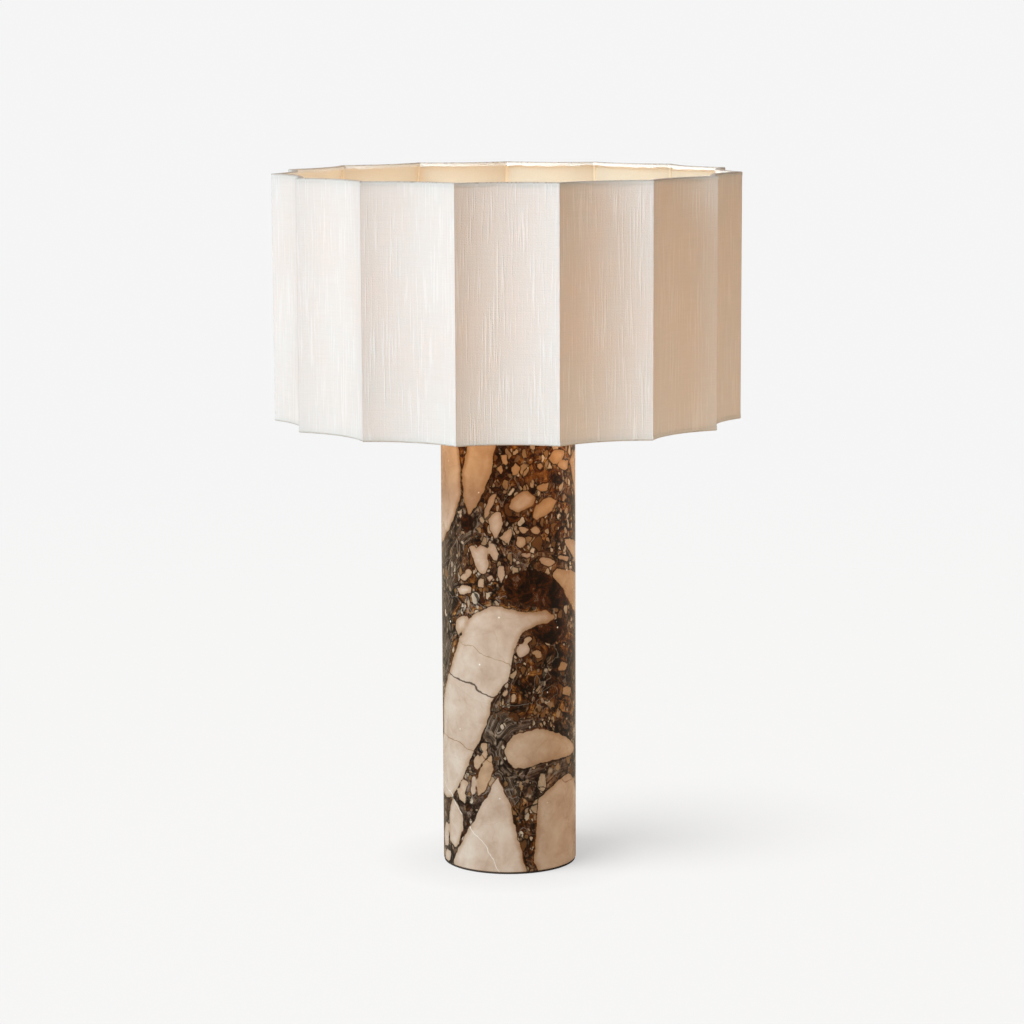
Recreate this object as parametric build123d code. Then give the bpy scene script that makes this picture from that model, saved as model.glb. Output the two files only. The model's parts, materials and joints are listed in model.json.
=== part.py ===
# A table lamp: a polished breccia marble column on a felt pad, a brass lampholder with a rotary switch
# on a threaded tube through the column, and a fluted linen drum shade clamped to the lampholder.
# Millimetres. +Z is up, the origin is on the column's axis at the table, and -Y is the front.
from build123d import *
from math import cos, degrees, pi, sin, sqrt
import os

# ---- Column and foot
column_radius = 58.0
column_length = 390.0
column_bore_radius = 12.0
column_edge_chamfer = 0.6
pad_thickness = 1.5
pad_setback = 0.6            # the felt ends this far inside the marble's side
recess_radius = 40.0         # wiring space in the underside of the column
recess_depth = 30.0

# ---- Cord inlet, at the back, low on the column
inlet_above_foot = 14.5      # its axis above the marble's lower face
inlet_hole_radius = 4.0
inlet_bush_radius = 5.5
inlet_flange_radius = 7.5
inlet_flange_thickness = 2.0
inlet_flange_proud = 0.8     # the flange stands this far out of the marble

# ---- Threaded tube and the nuts that clamp the column on it
rod_radius = 5.0
rod_bore_radius = 3.5
rod_clearance = 0.2
rod_end_below_nut = 5.0
rod_into_dome = 8.0
bottom_nut_across_flats = 17.0
bottom_nut_thickness = 5.0
lock_washer_radius = 8.5
lock_washer_thickness = 1.2
clamp_washer_radius = 28.0
clamp_washer_thickness = 3.0
rubber_washer_radius = 30.0
rubber_washer_thickness = 2.0
end_bush_wall = 1.2
end_bush_lip = 1.5
end_bush_grip = 3.0          # how far it reaches up round the tube
end_bush_hole_radius = 3.2

# ---- Cap and neck, on top of the column
cap_radius = 30.0
cap_thickness = 3.0
cap_edge_fillet = 1.2
cap_spigot_length = 6.0
spigot_clearance = 0.2
top_nut_across_flats = 14.0
top_nut_thickness = 4.0
neck_radius = 11.0
neck_wall = 1.2
neck_length = 12.0

# ---- Lampholder
dome_neck_length = 6.0
dome_flare_height = 6.0
dome_straight_height = 14.0
dome_thread_length = 8.0
dome_wall = 1.6
skirt_radius = 20.0
skirt_wall = 1.8
skirt_length = 34.5
insert_clearance = 0.2
grub_screw_radius = 1.5
insert_shoulder_thickness = 3.5
insert_depth_in_dome = 6.5
insert_boss_radius = 15.2
insert_boss_height = 6.0
shell_seat_depth = 4.0       # below the top of the porcelain boss
shell_inner_radius = 13.5
shell_wall = 0.4
shell_length = 21.0
contact_pocket_radius = 11.0
contact_pocket_depth = 4.0   # below the screw shell's seat
contact_rise = 2.0
contact_width = 6.0
contact_thickness = 0.5
contact_length = 14.0
contact_foot_length = 4.0
terminal_block_size = 6.0
terminal_block_height = 5.0
terminal_offset = 11.0
terminal_screw_radius = 1.5
terminal_screw_length = 4.0
terminal_screw_head_radius = 2.4
terminal_screw_head_height = 1.4

# ---- Rotary switch, with its axis along +X through the side of the lampholder
switch_block_length = 24.0
switch_block_width = 12.0
switch_block_height = 10.0
switch_wall_gap = 1.0        # between the block's corners and the inside of the dome
switch_bush_radius = 3.6
collar_radius = 5.2
collar_thickness = 2.5
spindle_radius = 2.0
spindle_clearance = 0.08
spindle_in_block = 6.0
spindle_end_gap = 0.6
knob_gap = 0.6
knob_hub_radius = 3.8
knob_hub_length = 5.0
knob_blade_length = 11.0
knob_blade_width = 12.0
knob_blade_thickness = 3.2
knob_blade_corner = 4.0

# ---- Shade rings on the lampholder's thread
shade_ring_radius = 27.0
shade_ring_thickness = 6.0
shade_ring_lift = 10.0       # the lower ring stands this far up the skirt
shade_ring_grips = 24
shade_ring_grip_radius = 0.9
lower_ring_clearance = 0.1
upper_ring_clearance = 0.3

# ---- Shade
shade_radius = 200.0         # from the axis to the linen on a ridge
shade_height = 210.0
flute_count = 15
flute_depth = 10.0           # each panel is hollowed this deep below its chord
linen_thickness = 0.8
lining_thickness = 0.5
hem_thickness = 0.4
hem_height = 5.0
hem_fold_clearance = 0.1     # between a ring wire and the cloth that is turned over it
ring_wire_radius = 1.5
upright_radius = 1.2
wire_clearance = 0.05        # between the frame's wires and the lining
fitter_radius = 34.0
fitter_bore_clearance = 1.0
fitter_thickness = 1.5
fitter_rise = 58.5           # the fitter ring's seat above the shade's lower edge
arm_count = 3
arm_radius = 1.5
arm_bend_radius = 12.0
arm_start_gap = 1.5          # between the clamp ring and the arms' inner ends
arm_inner_run = 15.0
arm_outer_run = 18.0
arm_above_hem = 0.5

# ---- Bulb
bulb_length = 108.0
bulb_radius = 30.0
bulb_glass_thickness = 0.8
bulb_neck_radius = 12.5
bulb_neck_height = 10.0      # straight glass above the cap
bulb_glass_in_cap = 4.0
bulb_cap_radius = 13.2
bulb_cap_wall = 0.5
bulb_cap_length = 19.0
bulb_tip_radius = 4.6
bulb_tip_height = 2.0
bulb_insulator_radius = 6.5
bulb_insulator_height = 4.0
bulb_insulator_in_cap = 2.0
bulb_contact_gap = 0.3
stem_radius = 4.0
stem_flare_thickness = 1.5
stem_length = 34.0
filament_count = 4
filament_radius = 0.9
filament_length = 32.0
filament_circle = 6.5
carrier_radius = 8.4
carrier_thickness = 0.6

# ---- Heights, from the table up
column_bottom = pad_thickness
column_top = column_bottom + column_length
recess_top = column_bottom + recess_depth
inlet_height = column_bottom + inlet_above_foot
clamp_washer_top = recess_top - rubber_washer_thickness
lock_washer_top = clamp_washer_top - clamp_washer_thickness
bottom_nut_top = lock_washer_top - lock_washer_thickness
bottom_nut_bottom = bottom_nut_top - bottom_nut_thickness
rod_bottom = bottom_nut_bottom - rod_end_below_nut
cap_top = column_top + cap_thickness
dome_bottom = cap_top + neck_length
rod_top = dome_bottom + rod_into_dome
dome_shoulder = dome_bottom + dome_neck_length + dome_flare_height
switch_height = dome_shoulder + dome_straight_height / 2
skirt_bottom = dome_shoulder + dome_straight_height
skirt_top = skirt_bottom + skirt_length
dome_top = skirt_bottom + dome_thread_length
insert_bottom = dome_top - insert_depth_in_dome
insert_shoulder = dome_top + insert_shoulder_thickness
boss_top = insert_shoulder + insert_boss_height
shell_bottom = boss_top - shell_seat_depth
shell_top = shell_bottom + shell_length
contact_floor = shell_bottom - contact_pocket_depth
contact_top = contact_floor + contact_rise
lower_ring_bottom = skirt_bottom + shade_ring_lift
fitter_bottom = lower_ring_bottom + shade_ring_thickness
fitter_top = fitter_bottom + fitter_thickness
shade_bottom = fitter_bottom - fitter_rise
shade_top = shade_bottom + shade_height
bulb_bottom = contact_top + bulb_contact_gap
bulb_top = bulb_bottom + bulb_length
bulb_cap_bottom = bulb_bottom + bulb_tip_height + bulb_insulator_height
bulb_cap_top = bulb_cap_bottom + bulb_cap_length
glass_bottom = bulb_cap_top - bulb_glass_in_cap
stem_top = glass_bottom + stem_length

# ---- Radii and insets that follow from the sizes above
dome_thread_radius = skirt_radius - skirt_wall
dome_inner_radius = dome_thread_radius - dome_wall
fitter_bore_radius = skirt_radius + fitter_bore_clearance
arm_start_radius = shade_ring_radius + arm_start_gap
cover_thickness = linen_thickness + lining_thickness
ring_wire_inset = cover_thickness + wire_clearance + ring_wire_radius
upright_inset = cover_thickness + wire_clearance + upright_radius
hem_inner_inset = ring_wire_inset + ring_wire_radius + hem_fold_clearance
half_flute = pi / flute_count


# ---- Solids about the lamp's axis
def disc(radius, low, high):
    return Pos(0, 0, low) * Cylinder(radius, high - low, align=(Align.CENTER, Align.CENTER, Align.MIN))


def tube(outer, inner, low, high):
    return disc(outer, low, high) - disc(inner, low, high)


def hex_nut(across_flats, low, high):
    blank = extrude(RegularPolygon(across_flats / 2, 6, major_radius=False), high - low)
    return Pos(0, 0, low) * blank - disc(rod_radius, low, high)


def turned(*outline):
    """A solid of revolution from a closed outline of (radius, height) points."""
    return revolve(Plane.XZ * make_face(Polyline(*outline, close=True)), Axis.Z, 360)


# ---- The fluted outline. Each panel is an arc whose centre lies outside the shade. An inset keeps the
# ---- centres and adds to the arcs' radius, so cloth, lining and wires stay parallel all the way round.
chord = 2 * shade_radius * sin(half_flute)
flute_arc_radius = (chord ** 2 / 4 + flute_depth ** 2) / (2 * flute_depth)
flute_centre = shade_radius * cos(half_flute) - flute_depth + flute_arc_radius


def ridge_radius(inset):
    arc_radius = flute_arc_radius + inset
    return flute_centre * cos(half_flute) - sqrt(arc_radius ** 2 - (flute_centre * sin(half_flute)) ** 2)


def valley_radius(inset):
    return flute_centre - flute_arc_radius - inset


def on_plan(radius, angle):
    """A point in plan, at an angle in radians from the front towards +X."""
    return (radius * sin(angle), -radius * cos(angle))


def panel_angle(k):
    return 2 * pi * k / flute_count


def ridge_angle(k):
    return panel_angle(k) + half_flute


def panel_arc(k, inset):
    ridge = ridge_radius(inset)
    start = on_plan(ridge, panel_angle(k) - half_flute)
    middle = on_plan(valley_radius(inset), panel_angle(k))
    end = on_plan(ridge, panel_angle(k) + half_flute)
    return ThreePointArc(start, middle, end)


def fluted_face(inset):
    return make_face([panel_arc(k, inset) for k in range(flute_count)])


def fluted_band(outer_inset, inner_inset, low, high):
    ring = fluted_face(outer_inset) - fluted_face(inner_inset)
    return Pos(0, 0, low) * extrude(ring, high - low)


def panel_wedge(k, low, high):
    """The space between the two upright planes that hold panel k's ridges."""
    reach = shade_radius + flute_depth
    start = on_plan(reach, panel_angle(k) - half_flute)
    end = on_plan(reach, panel_angle(k) + half_flute)
    return Pos(0, 0, low) * extrude(make_face(Polyline((0, 0), start, end, close=True)), high - low)


# ---- Column and foot
def base_pad():
    return disc(column_radius - pad_setback, 0, column_bottom)


def inlet_cylinder(radius, start, end):
    """A cylinder on the cord inlet's axis, between two distances behind the lamp's axis."""
    lying = Rot(-90, 0, 0) * Cylinder(radius, end - start, align=(Align.CENTER, Align.CENTER, Align.MIN))
    return Pos(0, start, inlet_height) * lying


inlet_outer_end = column_radius + inlet_flange_proud
inlet_seat = inlet_outer_end - inlet_flange_thickness
inlet_inner_end = sqrt(recess_radius ** 2 - inlet_bush_radius ** 2)


def column():
    blank = disc(column_radius, column_bottom, column_top)
    blank = chamfer(blank.edges().filter_by(GeomType.CIRCLE), column_edge_chamfer)
    blank -= disc(column_bore_radius, column_bottom, column_top)
    blank -= disc(recess_radius, column_bottom, recess_top)
    blank -= inlet_cylinder(inlet_bush_radius, 0, inlet_outer_end)
    return blank - inlet_cylinder(inlet_flange_radius, inlet_seat, inlet_outer_end)


def cord_bush():
    sleeve = inlet_cylinder(inlet_bush_radius, inlet_inner_end, inlet_seat)
    flange = inlet_cylinder(inlet_flange_radius, inlet_seat, inlet_outer_end)
    return sleeve + flange - inlet_cylinder(inlet_hole_radius, inlet_inner_end, inlet_outer_end)


# ---- Threaded tube and what it clamps
def rod_end_bush():
    body = disc(rod_radius + end_bush_wall, rod_bottom - end_bush_lip, rod_bottom + end_bush_grip)
    body -= disc(rod_radius, rod_bottom, rod_bottom + end_bush_grip)
    return body - disc(end_bush_hole_radius, rod_bottom - end_bush_lip, rod_bottom)


def top_cap():
    plate = disc(cap_radius, column_top, cap_top)
    plate = fillet(plate.edges().group_by(Axis.Z)[-1], cap_edge_fillet)
    spigot_bottom = column_top - cap_spigot_length
    spigot = disc(column_bore_radius - spigot_clearance, spigot_bottom, column_top)
    return plate + spigot - disc(rod_radius + rod_clearance, spigot_bottom, cap_top)


# ---- Lampholder
def grub_cylinder():
    length = neck_radius - rod_radius
    lying = Rot(90, 0, 0) * Cylinder(grub_screw_radius, length, align=(Align.CENTER, Align.CENTER, Align.MIN))
    return Pos(0, -rod_radius, dome_bottom + dome_neck_length / 2) * lying


def grub_screw():
    return grub_cylinder() & disc(neck_radius, dome_bottom, dome_bottom + dome_neck_length)


def switch_cylinder(radius, start, end):
    """A cylinder on the switch's axis, between two distances along +X."""
    lying = Rot(0, 90, 0) * Cylinder(radius, end - start, align=(Align.CENTER, Align.CENTER, Align.MIN))
    return Pos(start, 0, switch_height) * lying


block_corner_radius = dome_inner_radius - switch_wall_gap
block_end = sqrt(block_corner_radius ** 2 - switch_block_width ** 2 / 4)
collar_end = skirt_radius + collar_thickness
knob_start = collar_end + knob_gap
hub_end = knob_start + knob_hub_length


def holder_dome():
    outer = turned(
        (0, dome_bottom),
        (neck_radius, dome_bottom),
        (neck_radius, dome_bottom + dome_neck_length),
        (skirt_radius, dome_shoulder),
        (skirt_radius, skirt_bottom),
        (dome_thread_radius, skirt_bottom),
        (dome_thread_radius, dome_top),
        (0, dome_top),
    )
    hollow = turned(
        (0, rod_top),
        (neck_radius - dome_wall, rod_top),
        (dome_inner_radius, dome_shoulder + dome_wall),
        (dome_inner_radius, dome_top),
        (0, dome_top),
    )
    body = outer - hollow - disc(rod_radius, dome_bottom, rod_top)
    return body - grub_cylinder() - switch_cylinder(switch_bush_radius, block_end, skirt_radius)


def holder_insert():
    plug_radius = dome_inner_radius - insert_clearance
    body = disc(plug_radius, insert_bottom, dome_top)
    body += disc(dome_thread_radius - insert_clearance, dome_top, insert_shoulder)
    body += disc(insert_boss_radius, insert_shoulder, boss_top)
    body -= disc(shell_inner_radius + shell_wall, shell_bottom, boss_top)
    return body - disc(contact_pocket_radius, contact_floor, shell_bottom)


def centre_contact():
    """A folded strip: a foot on the porcelain, a riser, and a tongue under the bulb's tip."""
    start = -contact_length / 2
    riser = start + contact_foot_length
    outline = Polyline(
        (start, contact_floor),
        (riser, contact_floor),
        (riser, contact_top - contact_thickness),
        (contact_length / 2, contact_top - contact_thickness),
        (contact_length / 2, contact_top),
        (riser - contact_thickness, contact_top),
        (riser - contact_thickness, contact_floor + contact_thickness),
        (start, contact_floor + contact_thickness),
        close=True,
    )
    return extrude(Plane.XZ * make_face(outline), contact_width / 2, both=True)


terminal_bottom = insert_bottom - terminal_block_height
terminal_places = [Pos(0, -terminal_offset, 0), Pos(0, terminal_offset, 0)]


def terminal_thread():
    return disc(terminal_screw_radius, terminal_bottom, terminal_bottom + terminal_screw_length)


def terminal_block():
    outline = Rectangle(terminal_block_size, terminal_block_size)
    return Pos(0, 0, terminal_bottom) * extrude(outline, terminal_block_height) - terminal_thread()


def terminal_screw():
    head = disc(terminal_screw_head_radius, terminal_bottom - terminal_screw_head_height, terminal_bottom)
    return head + terminal_thread()


# ---- Rotary switch
def spindle_hole():
    start = block_end - spindle_in_block - spindle_end_gap
    return switch_cylinder(spindle_radius + spindle_clearance, start, collar_end)


def switch_block():
    block = Box(switch_block_length, switch_block_width, switch_block_height)
    body = Pos(block_end - switch_block_length / 2, 0, switch_height) * block
    body += switch_cylinder(switch_bush_radius, block_end, collar_end)
    return body - spindle_hole()


def switch_collar():
    return switch_cylinder(collar_radius, skirt_radius, collar_end) - switch_cylinder(
        switch_bush_radius, skirt_radius, collar_end
    )


def switch_spindle():
    return switch_cylinder(spindle_radius, block_end - spindle_in_block, hub_end)


def switch_knob():
    hub = switch_cylinder(knob_hub_radius, knob_start, hub_end)
    blade_start = knob_start + knob_hub_length / 2
    blade_end = hub_end + knob_blade_length
    outline = Pos((blade_start + blade_end) / 2, switch_height) * RectangleRounded(
        blade_end - blade_start, knob_blade_width, knob_blade_corner
    )
    blade = extrude(Plane.XZ * outline, knob_blade_thickness / 2, both=True)
    return hub + blade - switch_cylinder(spindle_radius, knob_start, hub_end)


# ---- Shade rings
def shade_ring(clearance, low):
    high = low + shade_ring_thickness
    ring = tube(shade_ring_radius, skirt_radius + clearance, low, high)
    grip = Pos(shade_ring_radius, 0, 0) * disc(shade_ring_grip_radius, low, high)
    return ring - [Rot(0, 0, 360 * k / shade_ring_grips) * grip for k in range(shade_ring_grips)]


# ---- Shade frame
def ring_wire(height):
    """A round wire bent to the flutes, mitred on every ridge."""
    low, high = height - 2 * ring_wire_radius, height + 2 * ring_wire_radius
    bends = []
    for k in range(flute_count):
        bend = Pos(*on_plan(flute_centre, panel_angle(k)), height) * Torus(
            flute_arc_radius + ring_wire_inset, ring_wire_radius
        )
        bends.append(bend & panel_wedge(k, low, high))
    return bends[0] + bends[1:]


lower_wire_height = shade_bottom + hem_thickness + ring_wire_radius
upper_wire_height = shade_top - hem_thickness - ring_wire_radius


def uprights():
    low = lower_wire_height + ring_wire_radius
    high = upper_wire_height - ring_wire_radius
    wire = disc(upright_radius, low, high)
    return [Pos(*on_plan(ridge_radius(upright_inset), ridge_angle(k)), 0) * wire for k in range(flute_count)]


def arm_ridge(k):
    return (flute_count // 2 + round(k * flute_count / arm_count)) % flute_count


def fitter_arm(k):
    """From the top of the fitter ring down to the upright on one of the ridges."""
    inner_height = fitter_top + arm_radius
    outer_height = shade_bottom + hem_height + arm_above_hem + arm_radius
    end_radius = ridge_radius(upright_inset) - upright_radius
    path = Plane.XZ * FilletPolyline(
        (arm_start_radius, inner_height),
        (arm_start_radius + arm_inner_run, inner_height),
        (end_radius - arm_outer_run, outer_height),
        (end_radius, outer_height),
        radius=arm_bend_radius,
    )
    section = Plane(origin=path @ 0, z_dir=path % 0) * Circle(arm_radius)
    arm = sweep(section, path)
    return Rot(0, 0, degrees(ridge_angle(arm_ridge(k))) - 90) * arm


# ---- Shade cover
cover_bottom = shade_bottom + hem_thickness
cover_top = shade_top - hem_thickness


def linen_panel(k):
    outer = panel_arc(k, 0)
    inner = panel_arc(k, linen_thickness)
    outline = [outer, Line(outer @ 1, inner @ 1), inner, Line(inner @ 0, outer @ 0)]
    return Pos(0, 0, cover_bottom) * extrude(make_face(outline), cover_top - cover_bottom)


def hem(edge, folded, inner_end):
    """Cloth turned over a ring wire, from the outside of the linen round to the inside of the wire."""
    outside = fluted_band(-hem_thickness, 0, min(edge, inner_end), max(edge, inner_end))
    fold = fluted_band(0, hem_inner_inset, min(edge, folded), max(edge, folded))
    inside = fluted_band(
        hem_inner_inset, hem_inner_inset + hem_thickness, min(edge, inner_end), max(edge, inner_end)
    )
    return outside + fold + inside


# ---- Bulb
def glass_form(inset):
    """The bulb's body, down to the glass's lower edge, with every surface set in by the inset."""
    radius, neck = bulb_radius - inset, bulb_neck_radius - inset
    centre = bulb_top - bulb_radius
    neck_top = bulb_cap_top + bulb_neck_height
    diagonal = radius / sqrt(2)
    outline = [
        Line((0, glass_bottom), (neck, glass_bottom)),
        Line((neck, glass_bottom), (neck, neck_top)),
        Spline((neck, neck_top), (radius, centre), tangents=[(0, 1), (0, 1)]),
        ThreePointArc((radius, centre), (diagonal, centre + diagonal), (0, centre + radius)),
        Line((0, centre + radius), (0, glass_bottom)),
    ]
    return revolve(Plane.XZ * make_face(outline), Axis.Z, 360)


def bulb_stem():
    flare_radius = bulb_neck_radius - bulb_glass_thickness
    flare = disc(flare_radius, glass_bottom, glass_bottom + stem_flare_thickness)
    return flare + disc(stem_radius, glass_bottom, stem_top)


def bulb_insulator():
    plug_radius = bulb_cap_radius - bulb_cap_wall
    return turned(
        (0, bulb_bottom + bulb_tip_height),
        (bulb_insulator_radius, bulb_bottom + bulb_tip_height),
        (plug_radius, bulb_cap_bottom),
        (plug_radius, bulb_cap_bottom + bulb_insulator_in_cap),
        (0, bulb_cap_bottom + bulb_insulator_in_cap),
    )


def filaments():
    rod = disc(filament_radius, stem_top + carrier_thickness, stem_top + carrier_thickness + filament_length)
    turn = 360 / filament_count
    return [Rot(0, 0, turn * k) * Pos(filament_circle, 0, 0) * rod for k in range(filament_count)]


def filament_carriers():
    upper = stem_top + carrier_thickness + filament_length
    return [
        disc(carrier_radius, stem_top, stem_top + carrier_thickness),
        disc(carrier_radius, upper, upper + carrier_thickness),
    ]


# ---- Every piece by the name of its node. A list is a set of like pieces in one node.
nodes = {
    "base_pad": base_pad(),
    "column": column(),
    "cord_bush": cord_bush(),
    "threaded_rod": tube(rod_radius, rod_bore_radius, rod_bottom, rod_top),
    "rod_end_bush": rod_end_bush(),
    "bottom_nut": hex_nut(bottom_nut_across_flats, bottom_nut_bottom, bottom_nut_top),
    "lock_washer": tube(lock_washer_radius, rod_radius + rod_clearance, bottom_nut_top, lock_washer_top),
    "clamp_washer": tube(clamp_washer_radius, rod_radius + rod_clearance, lock_washer_top, clamp_washer_top),
    "rubber_washer": tube(rubber_washer_radius, column_bore_radius, clamp_washer_top, recess_top),
    "top_cap": top_cap(),
    "top_nut": hex_nut(top_nut_across_flats, cap_top, cap_top + top_nut_thickness),
    "neck_tube": tube(neck_radius, neck_radius - neck_wall, cap_top, dome_bottom),
    "holder_dome": holder_dome(),
    "grub_screw": grub_screw(),
    "holder_insert": holder_insert(),
    "screw_shell": tube(shell_inner_radius + shell_wall, shell_inner_radius, shell_bottom, shell_top),
    "centre_contact": centre_contact(),
    "terminal_blocks": [place * terminal_block() for place in terminal_places],
    "terminal_screws": [place * terminal_screw() for place in terminal_places],
    "holder_skirt": tube(skirt_radius, dome_thread_radius, skirt_bottom, skirt_top),
    "switch_block": switch_block(),
    "switch_collar": switch_collar(),
    "switch_spindle": switch_spindle(),
    "switch_knob": switch_knob(),
    "lower_shade_ring": shade_ring(lower_ring_clearance, lower_ring_bottom),
    "upper_shade_ring": shade_ring(upper_ring_clearance, fitter_top),
    "fitter_ring": tube(fitter_radius, fitter_bore_radius, fitter_bottom, fitter_top),
    "lower_ring_wire": ring_wire(lower_wire_height),
    "upper_ring_wire": ring_wire(upper_wire_height),
    "uprights": uprights(),
    "lining": fluted_band(linen_thickness, cover_thickness, cover_bottom, cover_top),
    "lower_hem": hem(shade_bottom, cover_bottom, shade_bottom + hem_height),
    "upper_hem": hem(shade_top, cover_top, shade_top - hem_height),
    "bulb_glass": glass_form(0) - glass_form(bulb_glass_thickness),
    "bulb_cap": tube(bulb_cap_radius, bulb_cap_radius - bulb_cap_wall, bulb_cap_bottom, bulb_cap_top),
    "bulb_insulator": bulb_insulator(),
    "bulb_tip": disc(bulb_tip_radius, bulb_bottom, bulb_bottom + bulb_tip_height),
    "bulb_stem": bulb_stem(),
    "bulb_filaments": filaments(),
    "filament_carriers": filament_carriers(),
}
for k in range(arm_count):
    nodes[f"fitter_arm_{k + 1}"] = fitter_arm(k)
for k in range(flute_count):
    nodes[f"linen_panel_{k + 1:02d}"] = linen_panel(k)

os.makedirs("parts", exist_ok=True)
for name, shape in nodes.items():
    solid = Compound(children=shape) if isinstance(shape, list) else shape
    export_step(solid, f"parts/{name}.step")
print(len(nodes), "nodes written")
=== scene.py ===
import json
import math

import bmesh
import bpy
import numpy as np
from mathutils import Matrix, Vector, noise


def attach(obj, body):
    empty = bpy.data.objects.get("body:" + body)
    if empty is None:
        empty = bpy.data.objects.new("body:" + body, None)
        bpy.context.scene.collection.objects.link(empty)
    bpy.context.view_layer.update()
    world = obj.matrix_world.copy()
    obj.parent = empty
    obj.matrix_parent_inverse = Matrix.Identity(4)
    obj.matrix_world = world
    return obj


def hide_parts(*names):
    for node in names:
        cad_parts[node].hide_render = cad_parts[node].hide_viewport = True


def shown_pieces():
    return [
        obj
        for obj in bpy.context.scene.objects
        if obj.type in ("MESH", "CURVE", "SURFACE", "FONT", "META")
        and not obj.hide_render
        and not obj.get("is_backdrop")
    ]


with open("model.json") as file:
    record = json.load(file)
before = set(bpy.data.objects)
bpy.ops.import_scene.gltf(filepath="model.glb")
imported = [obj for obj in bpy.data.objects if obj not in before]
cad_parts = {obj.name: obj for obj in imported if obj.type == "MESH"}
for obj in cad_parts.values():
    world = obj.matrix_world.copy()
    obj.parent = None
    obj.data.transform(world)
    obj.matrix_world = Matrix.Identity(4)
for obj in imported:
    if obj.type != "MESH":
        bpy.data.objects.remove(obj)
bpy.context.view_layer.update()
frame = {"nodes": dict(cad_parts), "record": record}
nodes = frame["nodes"]
mm = 0.001
print("frame loaded:", len(nodes), "nodes")


def hexColour(text):
    srgb = [int(text[i:i + 2], 16) / 255 for i in (1, 3, 5)]
    return [c / 12.92 if c <= 0.04045 else ((c + 0.055) / 1.055) ** 2.4 for c in srgb] + [1.0]


smooth = {"interpolation_type": "SMOOTHSTEP"}
rgba = {"data_type": "RGBA"}


def addNode(tree, kind, inputs=(), settings=None):
    # inputs are values, sockets or nodes, in order or by name; a maths node's setting is its operation
    node = tree.nodes.new("ShaderNode" + kind)
    if isinstance(settings, str):
        settings = {"operation": settings}
    for name, value in (settings or {}).items():
        if name == "stops":  # colour ramp stops, as (position, colour)
            for spare in list(node.color_ramp.elements)[1:]:
                node.color_ramp.elements.remove(spare)
            node.color_ramp.elements[0].position = value[0][0]
            for i, (at, colour) in enumerate(value):
                stop = node.color_ramp.elements[0] if i == 0 else node.color_ramp.elements.new(at)
                stop.color = hexColour(colour)
        else:
            setattr(node, name, value)
    for name, value in inputs.items() if isinstance(inputs, dict) else enumerate(inputs):
        if isinstance(value, bpy.types.Node):
            value = next(output for output in value.outputs if output.enabled)
        if isinstance(value, bpy.types.NodeSocket):
            tree.links.new(value, node.inputs[name])
        elif isinstance(value, str):
            node.inputs[name].default_value = hexColour(value)
        else:
            node.inputs[name].default_value = value
    return node


def startMaterial(name):
    material = bpy.data.materials.new(name)
    material.use_nodes = True
    material.node_tree.nodes.clear()
    return material, material.node_tree


def endMaterial(tree, surface):
    addNode(tree, "OutputMaterial", {"Surface": surface})


def addPiece(name, bm, body, material, sharpAngle=35):
    mesh = bpy.data.meshes.new(name)
    bm.to_mesh(mesh)
    bm.free()
    mesh.shade_smooth()
    mesh.set_sharp_from_angle(angle=math.radians(sharpAngle))
    piece = bpy.data.objects.new(name, mesh)
    bpy.context.scene.collection.objects.link(piece)
    piece.data.materials.append(material)
    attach(piece, body)
    return piece


def spinProfile(bm, points, steps, closed=True):
    # (radius, height) points in mm, turned once round the lamp's axis
    verts = [bm.verts.new((r * mm, 0, z * mm)) for r, z in points]
    pairs = list(zip(verts, verts[1:])) + ([(verts[-1], verts[0])] if closed else [])
    edges = [bm.edges.new(pair) for pair in pairs]
    bmesh.ops.spin(bm, geom=verts + edges, cent=(0, 0, 0), axis=(0, 0, 1), dvec=(0, 0, 0),
                   angle=math.tau, steps=steps, use_merge=True)
    bmesh.ops.remove_doubles(bm, verts=bm.verts, dist=0.002 * mm)
    bmesh.ops.recalc_face_normals(bm, faces=bm.faces)


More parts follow.
